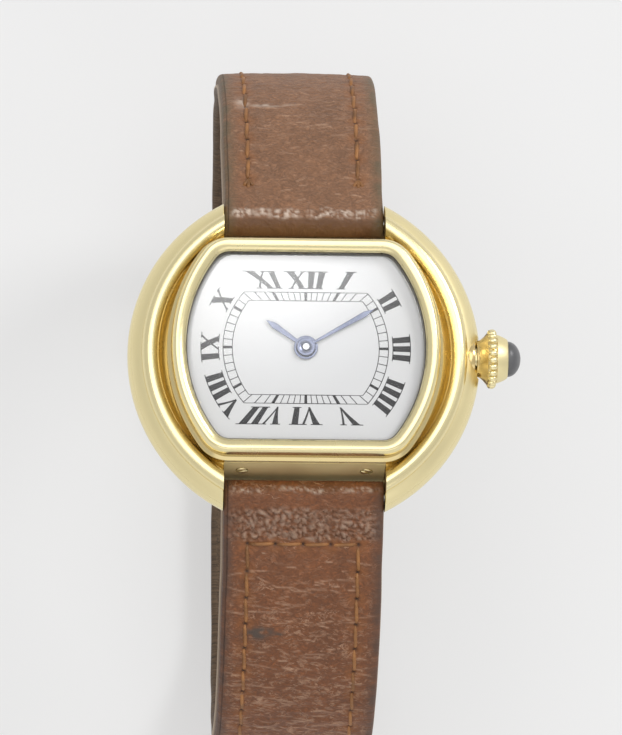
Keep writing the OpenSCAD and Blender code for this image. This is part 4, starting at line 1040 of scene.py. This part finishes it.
def strap_part(name, node, finish, path, at, half, breadth, seed, centre_x=0.0, holes=(), zones=(), crease=0.4,
               fine=0.3, roll_shade_end=-9.0, drawn=(), stain=()):
    """One strap length as an object: the section swept along the route, its upper face crowned and sunk a
    little along the stitch lines, with a pit at each stitch hole, painted dark as shade. Round the roll the
    leather
    is puffed: zones are rows of (start, end, cell size, height, shine, share of painted highlight flakes), and
    there rounded cells stand up and take a painted sheen and painted highlight flakes, with painted shade in the
    creases between them. The lining's edge stands out a little under the upper leather. crease is how creased it
    is, fine the share of fine creases at the case, roll_shade_end where the painted shade on the rolled end stops,
    drawn the rows of creases painted pale as highlights and stain the rows of dark spots (across, along, width,
    length, depth), pale scuffs where the depth is negative."""
    # Largest corner rounding, width of the face's soft edge, reach, pit and groove radius of a stitch hole
    corner, soft, reach, pit_r, groove_r = 0.38, 0.8, 1.4, 0.17, 0.75
    place, _, normal = on_route(path, at)
    a, b, ca, cb = section(96, 26).T
    c = np.minimum(corner, half * 0.85)[:, None]
    width = breadth[:, None]
    x = (width / 2 - c) * a + c * ca
    h = (half[:, None] - c) * b + c * cb
    edge_dist = width / 2 - np.abs(x)
    top = ((b > 0.99) & (cb > 0.5))[None, :]
    bottom = ((b < -0.99) & (cb < -0.5))[None, :]
    face = np.clip(edge_dist / soft, 0, 1) * top
    along = at[:, None] + 0 * x
    pit, groove, wrinkle, shine, highlight_flake_and_scuff, stain_and_crease_shade, pale = (0 * x for _ in range(7))
    for hole_at, hole_x in holes:
        near = (np.abs(at - hole_at) < reach)[:, None] & (np.abs(x - hole_x) < reach)
        away = np.hypot(along - hole_at, x - hole_x)
        pit = np.maximum(pit, np.where(near, np.exp(-(away / pit_r) ** 2), 0))
        groove = np.maximum(groove, np.where(near, np.exp(-(away / groove_r) ** 4), 0))
    for start, end, scale, height, gloss, highlight_flakes in zones:
        ragged = along + 0.35 * (noise(x * 1.1, 0 * x + seed, seed + 7) - 0.5)
        inside = np.clip((ragged - start) / 0.25, 0, 1) * np.clip((end - ragged) / 0.25, 0, 1)
        bent_x = x + 0.9 * noise(x * 1.3, along * 1.3, seed + 16)
        bent_s = along + 0.9 * noise(x * 1.3, along * 1.3, seed + 8)
        big = cells(bent_x / scale, bent_s / scale, seed + 1)
        small = cells(bent_x * 2.4 / scale, bent_s * 2.4 / scale, seed + 4)
        patch = np.clip(noise(x * 0.9 / scale, along * 0.5, seed + 9) * 2.2 - 0.3, 0, 1)
        rub = noise(x * 4.5, along * 4.5, seed + 13)
        lump = big ** 0.6 * (0.5 + 0.5 * small ** 0.7)
        wrinkle = wrinkle + inside * height * (lump - 0.5)
        # A painted sheen on the high cells, where the leather is also less rough
        shine = np.maximum(shine, gloss * inside * np.clip(lump * 1.2 - 0.2 + 1.1 * (rub - 0.5), 0, 1))
        # Painted shade in the creases between the puffed cells
        stain_and_crease_shade = np.maximum(stain_and_crease_shade, gloss * 0.55 * inside * np.clip(0.75 - lump * 2, 0, 1))
        # Painted highlight: pale flakes on the puffed cells round the roll
        highlight_flake_and_scuff = np.maximum(highlight_flake_and_scuff, highlight_flakes * inside * patch * np.clip(lump * 1.5 - 0.5 + 1.4 * (rub - 0.4), 0, 1))
    ripple = noise(x * 0.7 + 0.3 * along, along * 2.6, seed + 10) - 0.75
    ripple = ripple + 0.5 * noise(x * 1.6, along * 5.0, seed + 12)
    wrinkle = wrinkle + ripple * crease * 0.14 * np.clip((along - 7) / 9, 0, 1)
    lines = drawn_creases(x, along, drawn, seed) * face
    wrinkle = wrinkle + 0.05 * lines
    for spot_x, spot_at, wide, long, depth in stain:
        away = ((x - spot_x) / wide) ** 2 + ((along - spot_at) / long) ** 2
        spot = np.exp(-away) * np.clip(2.4 * noise(x * 2.5, along * 3, seed + 14) - 0.4, 0, 1)
        stain_and_crease_shade = np.maximum(stain_and_crease_shade, depth * spot)
        pale = np.maximum(pale, -depth * spot)
    lumps = noise(x * 0.7, along * 0.7, seed + 2) - 0.5
    grain = noise(x * 2.1, along * 2.6, seed + 3) - 0.5
    wobble = noise(along * 0.35, 0 * x + seed, seed + 5) - 0.5
    crown = 0.12 * (1 - (2 * x / width) ** 2)
    h = h + face * (crown + lumps * 0.07 + grain * 0.035 + wrinkle) - top * (0.2 * pit + 0.05 * groove)
    h = h + bottom * 0.04 * (lumps + 0.5)
    flank = (np.abs(a) > 0.99)[None, :]
    seam = np.exp(-((h - 0.02) / 0.07) ** 2) * flank
    lining = np.clip((-h - 0.02) / 0.08, 0, 1) * flank * np.clip((half[:, None] - 0.1) * 2, 0, 1)
    out = np.where(x < 0, 0.15, 0.08) * lining - 0.05 * seam + wobble * 0.08 * flank
    x = x + np.sign(x) * out
    points = np.stack([centre_x + x, place[:, None, 0] + normal[:, None, 0] * h,
                       place[:, None, 1] + normal[:, None, 1] * h], -1)
    worn = np.clip(1.25 - edge_dist / 0.9, 0, 1) * (0.4 + 0.9 * noise(along * 1.7, x * 1.5, seed + 6))
    marks = {
        "edge": np.clip(worn * (1 - lining), 0, 1),
        "lining": np.clip(lining + bottom, 0, 1),
        "rim": lining * np.clip((h + 0.3) / 0.08, 0, 1),
        "crease": face * crease,
        # Drawn creases, painted pale as highlights
        "drawn": lines,
        "channel": groove * face,
        # Real dark stains, and painted shade in the creases between the puffs
        "stain": np.clip(stain_and_crease_shade, 0, 1) * face,
        "fine": face * np.clip(fine + (along - 5) / 14, fine, 1) * np.clip((36 - along) / 10, 0.25, 1) * crease,
        # Painted sheen, which also lowers the roughness
        "shine": shine * face,
        # Painted highlight flakes, with the pale scuffs
        "highlight_flake_and_scuff": np.maximum(highlight_flake_and_scuff, pale) * face,
        # Painted shade on the rolled end, up to roll_shade_end
        "roll": np.clip((roll_shade_end - along) / 0.3, 0, 1) * top,
        # Painted shade in the stitch holes
        "pit": pit,
    }
    uv = np.stack([run_along(np.stack([a * 6, b], -1))[None, :] + 0 * x, along], -1)
    faces = ring_faces(*points.shape[:2])
    if path[2] < 0:
        faces = [face[::-1] for face in faces]
    piece = put(name, points, faces, "case", "leather", finish, uv, marks)
    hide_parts(node)
    return piece


def stitches(path, spans, above, thread=0.125):
    """Stitches as short bent cylinders of radius thread: spans is rows of (start along, end along, start across,
    end across). Each bulges by a fourth-power arch out of its holes and thins a little at its ends."""
    spans, steps, sides = np.asarray(spans, float), 9, 8
    t = np.linspace(-1, 1, steps)[None, :]
    a = np.linspace(0, 2 * np.pi, sides, endpoint=False)[None, None, :]
    start, end, left, right = (spans[:, k][:, None] for k in range(4))
    along = (start + end) / 2 + (end - start) / 2 * t
    across = (left + right) / 2 + (right - left) / 2 * t
    place, tangent, normal = on_route(path, along)
    # The thread lies across its own way: the way in the strap's plane, turned by a right angle
    way = np.stack([(end - start) + 0 * t, (right - left) + 0 * t], -1)
    way /= np.linalg.norm(way, axis=-1, keepdims=True)
    radius = (thread * (1 - 0.2 * t ** 2))[..., None]
    flat, out = radius * np.cos(a), radius * 0.85 * np.sin(a)
    rise = (strap_thickness(along) / 2 + 0.09 - 0.26 * t ** 4)[..., None]
    rise = rise + out if above else -(rise - 0.05 + out)
    x = across[..., None] + flat * way[..., :1]
    y, z = (place[..., k] + normal[..., k] * rise - tangent[..., k] * flat * way[..., 1:]
            for k in (slice(0, 1), slice(1, 2)))
    return [(block, ring_faces(steps, sides)) for block in np.stack([x, y, z], -1)]


def stitch_rows(start, end, length, cross_at=None):
    """Where the stitches lie: two long rows, and a row across the strap if asked, with the holes between
    them as (along, across)."""
    size = bpy.context.scene.watch_strap
    count = round((end - start) / length)
    pitch = (end - start) / count
    rows, holes = [], []
    for sign in (-1, 1):
        for k in range(count + 1):
            a, b = start + k * pitch, start + (k + 1) * pitch
            line = sign * float(strap_breadth(np.array(a)) / 2 - size.stitch_inset)
            holes.append((a, line))
            if k < count:
                rows.append((a + 0.1, b - 0.1, line - 0.06, line + 0.06))
    if cross_at is not None:
        half = float(strap_breadth(np.array(cross_at))) / 2 - size.stitch_inset
        count = round(2 * half / length)
        pitch = 2 * half / count
        for k in range(count):
            a = -half + k * pitch
            rows.append((cross_at + 0.04, cross_at - 0.04, a + 0.1, a + pitch - 0.1))
            holes.append((cross_at, a + pitch))
    return rows, holes


def cut_holes(piece, centres, radius, slot):
    """Cuts upright holes through a piece: the first is a slot, the others are round."""
    work = bmesh.new()
    for k, (x, y, z) in enumerate(centres):
        r, half = radius[k], slot / 2 if k == 0 else 0
        outline = arc(x, y, r, r, 0, 360, 33)[:-1]
        if half:
            outline = np.concatenate([arc(x, y + half, r, r, 0, 180, 17), arc(x, y - half, r, r, 180, 360, 17)])
        low, high = ([work.verts.new((px * MM, py * MM, (z + dz) * MM)) for px, py in outline] for dz in (-2, 2))
        work.faces.new(low[::-1])
        work.faces.new(high)
        for j in range(len(outline)):
            after = (j + 1) % len(outline)
            work.faces.new((low[j], low[after], high[after], high[j]))
    bmesh.ops.recalc_face_normals(work, faces=work.faces)
    mesh = bpy.data.meshes.new("cutter")
    work.to_mesh(mesh)
    work.free()
    cutter = linked("cutter", mesh)
    cut = piece.modifiers.new("holes", "BOOLEAN")
    cut.object = cutter
    cut.solver = "EXACT"
    bpy.context.view_layer.update()
    done = bpy.data.meshes.new_from_object(piece.evaluated_get(bpy.context.evaluated_depsgraph_get()))
    piece.modifiers.clear()
    piece.data = done
    bpy.data.objects.remove(cutter)


def spaced(end_fine, end):
    """Distances along a strap, 0.11 mm apart up to end_fine and 0.4 mm after it."""
    near = np.linspace(0, end_fine, int(end_fine / 0.11))
    return np.concatenate([near, np.linspace(end_fine, end, int((end - end_fine) / 0.4))[1:]])


def make_strap():
    """Both strap halves with their stitching: the upper one ends in two ears round the buckle bar, the lower
    one in a pointed tail with holes."""
    size = bpy.context.scene.watch_strap
    buckle_y = sum(corner[1] for corner in box_mm("buckle_bar")) / 2
    # Distances before a bar, and the half thickness there, of an end rolled round it
    round_bar = np.radians(np.linspace(0, 90, 16))[:-1]
    before, rolled = -size.roll_r * np.cos(round_bar), size.roll_r * np.sin(round_bar)
    # Upper half
    path = strap_route(1, size.loop_drop, buckle_y)
    end = path[1][-1]
    slot_start = end - 1.4
    line = spaced(26, slot_start)
    at = np.concatenate([before, line])
    rows, holes = stitch_rows(3.5, slot_start - 1.5, size.stitch_pitch)
    strap_part("strap_upper_leather", "strap_upper", "leather_upper", path, at,
               np.concatenate([rolled, strap_thickness(line) / 2]), strap_breadth(at), 3, holes=holes,
               # Round the roll: painted highlight flakes and sheen, and painted shade on the rolled end up to
               # roll_shade_end
               zones=[(-0.4, 0.65, 0.6, 0.14, 0.4, 1.0)], crease=0.35, fine=0.5, roll_shade_end=-0.2,
               drawn=[(50, 1.0, 16.0, 0.3, 1.4, 0.05), (8, 9.5, 14.0, 1.0, 3.0, 0.06)],
               stain=[(-4.7, 13.0, 0.5, 0.7, -0.9), (-2.6, 12.6, 1.6, 0.22, -0.7)])
    end_r, slot_half = size.thickness / 2, 0.6
    turn = np.radians(np.linspace(0, 90, 10))[1:]
    ear_at = np.concatenate([np.linspace(slot_start - 0.05, end, 12), end + end_r * np.sin(turn)])
    ear_half = np.concatenate([np.full(12, end_r), end_r * np.cos(turn)])
    ear_w = size.end_width / 2 - slot_half
    for name, sign in (("left", -1), ("right", 1)):
        strap_part("strap_ear_" + name, "strap_upper", "leather_upper", path, ear_at, ear_half,
                   np.full(len(ear_at), ear_w), 5, sign * (slot_half + ear_w / 2))
    # Each row starts with a small fan of back-stitches
    fans = []
    for sign in (-1, 1):
        line_x = sign * (size.width / 2 - size.stitch_inset)
        fans += [(2.5 + abs(d) * 0.5, 3.5, line_x + d, line_x - d * 0.2) for d in (-0.42, 0.0, 0.42)]
    parts = stitches(path, rows, True, 0.16) + stitches(path, fans, True, 0.15) + stitches(path, rows, False)
    put("strap_upper_thread", *join_parts(parts), "case", "leather", "thread", weld=0)
    # Lower half: its tail narrows to a point over the last millimetres
    path = strap_route(-1, size.loop_drop + size.layer_gap, size.foot_half, size.tail_deg)
    end, point = path[1][-1], 5.8
    line = spaced(28, end)
    tip = np.clip((line - end + point) / point, 0, 1)
    breadth = np.concatenate([strap_breadth(before), strap_breadth(line) * np.sqrt(1 - 0.9 * tip ** 3)])
    rows, holes = stitch_rows(3.6, end - 6.5, size.stitch_pitch, 3.6)
    lower = strap_part("strap_lower_leather", "strap_lower", "leather_lower", path, np.concatenate([before, line]),
                       np.concatenate([rolled, strap_thickness(line) / 2 * (1 - 0.2 * tip)]), breadth, 11,
                       # The first zone is a row of painted highlight specks, the second puffs with a painted sheen
                       holes=holes, zones=[(-0.95, -0.4, 0.4, 0.08, 0.5, 0.8), (0.7, 3.4, 0.6, 0.4, 0.85, 0.12)],
                       crease=0.8, fine=0.2,
                       drawn=[(14, 4.6, 14.0, 2.5, 6.5, 0.055), (40, 3.8, 12.0, 0.4, 1.2, 0.05),
                              (170, 12.0, 28.0, 0.4, 1.8, 0.06)],
                       stain=[(-3.2, 11.1, 1.2, 0.5, 1.6), (-1.9, 11.2, 0.4, 0.14, 2.2)])
    parts = stitches(path, rows, True, 0.15) + stitches(path, rows, False)
    put("strap_lower_thread", *join_parts(parts), "case", "leather", "thread", weld=0)
    tail_z = -size.loop_mid - size.loop_drop - size.layer_gap
    centres = [(0, buckle_y - 1.65 + step * size.hole_pitch, tail_z) for step in (0, -2, -1, 1)]
    cut_holes(lower, centres, [0.6, 0.5, 0.5, 0.5], 1.8)


def make_keepers():
    """Two leather keepers: a rounded strip swept once round the strap along a rounded rectangle, its edges
    pressed in a fine line."""
    low, high = box_mm("fixed_keeper")
    breadth = high[1] - low[1]
    # Wall, corner radius of the way round, and edge rounding of the strip
    wall, r, c = 1.2, 0.75, 0.3
    half_x, half_z = ((high - low) / 2 - wall / 2)[[0, 2]]
    corners = [(half_x - r, half_z - r, 90, 0), (half_x - r, r - half_z, 0, -90),
               (r - half_x, r - half_z, -90, -180), (r - half_x, half_z - r, 180, 90)]
    points = [arc(cx, cz, r, r, a0, a1, 14) for cx, cz, a0, a1 in corners]
    normals = [arc(0, 0, 1, 1, a0, a1, 14) for _, _, a0, a1 in corners]
    loop, way = (np.concatenate(rows + [rows[0][:1]]) for rows in (points, normals))
    run, count = run_along(loop), 240
    place, facing = evenly(loop, way, run, count)
    at = np.linspace(0, run[-1], count, endpoint=False)
    a, b, ca, cb = section(30, 12).T
    across = (breadth / 2 - c) * a + c * ca
    out = (wall / 2 - c) * b + c * cb
    out = out - 0.06 * np.exp(-((np.abs(across) - breadth / 2 + 0.55) / 0.1) ** 2) * (cb > 0.5)
    girth = run_along(np.stack([a * breadth / 2, b * wall / 2], -1))
    for name, node, body, tilt, room in (("keeper_fixed_leather", "fixed_keeper", "case", 0.0, 0.0),
                                         ("keeper_free_leather", "free_keeper", "free_keeper", 16.674, 0.15)):
        _, middle_y, middle_z = sum(box_mm(node)) / 2
        x, z = (place[:, None, k] + facing[:, None, k] * out[None, :] for k in (0, 1))
        z = z + np.sign(place[:, None, 1]) * room
        y = across[None, :] + 0 * x
        t = math.radians(tilt)
        shape = np.stack([x, middle_y + y * math.cos(t) - z * math.sin(t),
                          middle_z + y * math.sin(t) + z * math.cos(t)], -1)
        edge = np.clip(1.2 - (breadth / 2 - np.abs(across)) / 0.35, 0, 1)[None, :] * 0.8 + 0 * x
        uv = np.stack([girth[None, :] + 0 * x + middle_y, at[:, None] + 0 * x], -1)
        # The keepers carry a painted sheen and crease lines painted pale as highlights
        marks = {"edge": edge, "crease": 0.3 + 0 * x, "shine": 0.4 + 0 * x}
        keeper = put(name, shape, grid_faces(count, len(a), True, True), body, "leather", "leather_lower", uv,
                     marks)
        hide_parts(node)


# Stage, in metres but for the camera

def stage_square(name, middle, half, way, material):
    """A square of the stage, facing up where way is 1 and down where it is -1."""
    corners = [(-1, -1), (1, -1), (1, 1), (-1, 1)][::way]
    mesh = bpy.data.meshes.new(name)
    mesh.from_pydata([(middle[0] + half * x, middle[1] + half * y, middle[2]) for x, y in corners], [],
                     [(0, 1, 2, 3)])
    layer = mesh.uv_layers.new(name="surface")
    layer.data.foreach_set("uv", [(share + 1) / 2 for corner in corners for share in corner])
    mesh.materials.append(material)
    square = linked(name, mesh)
    return square


def make_stage():
    """Camera, floor, world and lamps: the camera looks down from the six o'clock side through a long lens,
    on a pale floor under soft light."""
    scene = bpy.context.scene
    # The picture's height and the size of a pixel at the dial give the distance
    picture_px, pixel_mm = 735, 0.08
    sensor, lens = 36.0, 400.0
    distance = picture_px * pixel_mm * lens / sensor
    back = Vector((-0.0485, -0.228, 0))
    back.z = math.sqrt(1 - back.x ** 2 - back.y ** 2)
    up = (Vector((0, 1, 0)) - back * back.y).normalized()
    right = up.cross(back)
    aim = Vector((0, 0, box_mm("minute_hand")[0][2])) + right * 0.4 - up * 1.64
    cam = bpy.data.cameras.new("camera")
    cam.sensor_width, cam.lens = sensor, lens
    cam.clip_start, cam.clip_end = 0.01, 10
    eye = linked("camera", cam)
    turn = Matrix((right, up, back)).transposed().to_4x4()
    eye.matrix_world = Matrix.Translation((aim + back * distance) * MM) @ turn
    scene.camera = eye
    scene.view_settings.view_transform = "Standard"
    stage_square("floor", (0, 0, CAD_BOX[0].z), 3.0, 1, finish_named("paper"))
    # World: pale to the camera, dimmer as a light
    world = bpy.data.worlds.new("studio")
    scene.world = world
    world.use_nodes = True
    tree = world.node_tree
    tree.nodes.clear()
    path = add(tree, "ShaderNodeLightPath").outputs
    power = maths(tree, "MULTIPLY_ADD", path["Is Glossy Ray"], 0.22, 0.46)
    lit = add(tree, "ShaderNodeBackground", {"Color": grey(1.0), "Strength": power})
    seen = add(tree, "ShaderNodeBackground", {"Color": rgb("#EBEBEB"), "Strength": 1.0})
    mix = add(tree, "ShaderNodeMixShader", {0: path["Is Camera Ray"], 1: lit.outputs[0], 2: seen.outputs[0]})
    add(tree, "ShaderNodeOutputWorld", {"Surface": mix.outputs[0]})
    # Lamps aim at the middle of the watch. Each has its place, its size and its power in watts
    watch = Vector((0, 0, -0.015))
    for name, place, size, power in (
            ("overhead", (-0.12, 0.05, 0.95), (0.95, 0.8), 3.2),
            ("key", (0.55, 0.4, 0.6), (0.26, 0.26), 2.8),
            ("front", (0.1, -0.8, 0.3), (1.2, 0.5), 1.0)):
        lamp = bpy.data.lights.new(name, "AREA")
        lamp.shape = "RECTANGLE"
        lamp.size, lamp.size_y = size
        lamp.energy = power
        thing = linked(name, lamp)
        thing.location = place
        thing.rotation_mode = "QUATERNION"
        thing.rotation_quaternion = (watch - Vector(place)).to_track_quat("-Z", "Y")
        thing.visible_camera = False
    # Softbox above the upper left: its reflection lies on the crystal and fades out toward the middle. Only
    # the glass mirrors it: the gold is too rough to show a small softbox
    mat, tree, shader = new_material("softbox cloth")
    flat = add(tree, "ShaderNodeUVMap", uv_map="surface").outputs["UV"]
    centre = add(tree, "ShaderNodeVectorMath", {0: flat, 1: (0.5, 0.5, 0.0)}, operation="DISTANCE")
    share = spread(tree, centre.outputs["Value"], 0.04, 0.5, 1.0, 0.0, interpolation_type="SMOOTHSTEP")
    set_shader(shader, Base_Color=grey(0.8), Roughness=0.9, Emission_Color=grey(1.0), Emission_Strength=19.0)
    glass = add(tree, "ShaderNodeLightPath").outputs["Is Singular Ray"]
    mix_surface(tree, maths(tree, "MULTIPLY", share, glass), add(tree, "ShaderNodeBsdfTransparent"), shader)
    softbox = stage_square("softbox", (-0.01, 0.29, 0.75), 0.19, -1, mat)
    softbox.visible_camera = False


# Operators

class WATCH_OT_stage(bpy.types.Operator):
    """Makes the camera, the floor and the light"""
    bl_idname = "watch.stage"
    bl_label = "Stage"

    def execute(self, context):
        make_stage()
        return {"FINISHED"}


class WATCH_OT_case(bpy.types.Operator):
    """Finishes the case, the bezel, the back and the screws"""
    bl_idname = "watch.case"
    bl_label = "Case"

    def execute(self, context):
        dress("case gold", "case_middle")
        dress("gold", "case_back", "crown_tube")
        dress("steel", "strap_bar_upper", "strap_bar_lower", "winding_stem", "sliding_clutch", "winding_pinion",
              "cannon_pinion", "bridge_screws", "escape_wheel", "pallet_lever", "hairspring")
        dress("rubber", "crystal_gasket", "case_back_gasket")
        dress("brass", "main_plate", "barrel_bridge", "train_bridge", "pallet_bridge", "movement_ring",
              "hour_wheel", "minute_wheel", "barrel", "centre_wheel", "third_wheel", "fourth_wheel",
              "balance_wheel")
        make_shoulders()
        make_screws()
        make_bezel()
        return {"FINISHED"}


class WATCH_OT_crystal(bpy.types.Operator):
    """Makes the crystal"""
    bl_idname = "watch.crystal"
    bl_label = "Crystal"

    def execute(self, context):
        make_crystal()
        return {"FINISHED"}


class WATCH_OT_dial(bpy.types.Operator):
    """Finishes the dial and prints its numerals and minute ring"""
    bl_idname = "watch.dial"
    bl_label = "Dial"

    def execute(self, context):
        dress("dial", "dial")
        make_numerals()
        make_minute_ring()
        return {"FINISHED"}


class WATCH_OT_hands(bpy.types.Operator):
    """Makes the blued hands"""
    bl_idname = "watch.hands"
    bl_label = "Hands"

    def execute(self, context):
        make_hands()
        return {"FINISHED"}


class WATCH_OT_crown(bpy.types.Operator):
    """Makes the beaded crown and its stone"""
    bl_idname = "watch.crown"
    bl_label = "Crown"

    def execute(self, context):
        make_crown()
        return {"FINISHED"}


class WATCH_OT_strap(bpy.types.Operator):
    """Makes the leather strap, its stitching and its keepers"""
    bl_idname = "watch.strap"
    bl_label = "Strap"

    def execute(self, context):
        make_strap()
        make_keepers()
        return {"FINISHED"}


class WATCH_OT_buckle(bpy.types.Operator):
    """Finishes the buckle"""
    bl_idname = "watch.buckle"
    bl_label = "Buckle"

    def execute(self, context):
        softened("buckle_frame", 0.18, "buckle")
        softened("buckle_tongue", 0.12, "tongue")
        dress("steel", "buckle_bar")
        return {"FINISHED"}


class WATCH_PT_panel(bpy.types.Panel):
    """Lists the watch's pieces"""
    bl_idname = "WATCH_PT_panel"
    bl_label = "Watch"
    bl_space_type = "VIEW_3D"
    bl_region_type = "UI"
    bl_category = "Watch"

    def draw(self, context):
        column = self.layout.column()
        for kind in OPERATORS:
            column.operator(kind.bl_idname)
        for group in ("watch_case", "watch_dial", "watch_strap"):
            settings = getattr(context.scene, group)
            for key in settings.__annotations__:
                column.prop(settings, key)


OPERATORS = (WATCH_OT_stage, WATCH_OT_case, WATCH_OT_crystal, WATCH_OT_dial, WATCH_OT_hands, WATCH_OT_crown,
             WATCH_OT_strap, WATCH_OT_buckle)
GROUPS = {"watch_case": WatchCaseSizes, "watch_dial": WatchDialSizes, "watch_strap": WatchStrapSizes}


def register():
    """Registers the classes and the scene's settings."""
    for kind in (*GROUPS.values(), *OPERATORS, WATCH_PT_panel):
        bpy.utils.register_class(kind)
    for key, kind in GROUPS.items():
        setattr(bpy.types.Scene, key, PointerProperty(type=kind))


def unregister():
    """Takes the settings and the classes away again."""
    for key in GROUPS:
        delattr(bpy.types.Scene, key)
    for kind in (WATCH_PT_panel, *OPERATORS, *GROUPS.values()):
        bpy.utils.unregister_class(kind)


def main():
    """Makes every piece in order."""
    register()
    for kind in OPERATORS:
        group, name = kind.bl_idname.split(".")
        getattr(getattr(bpy.ops, group), name)()


if __name__ == "__main__":
    main()
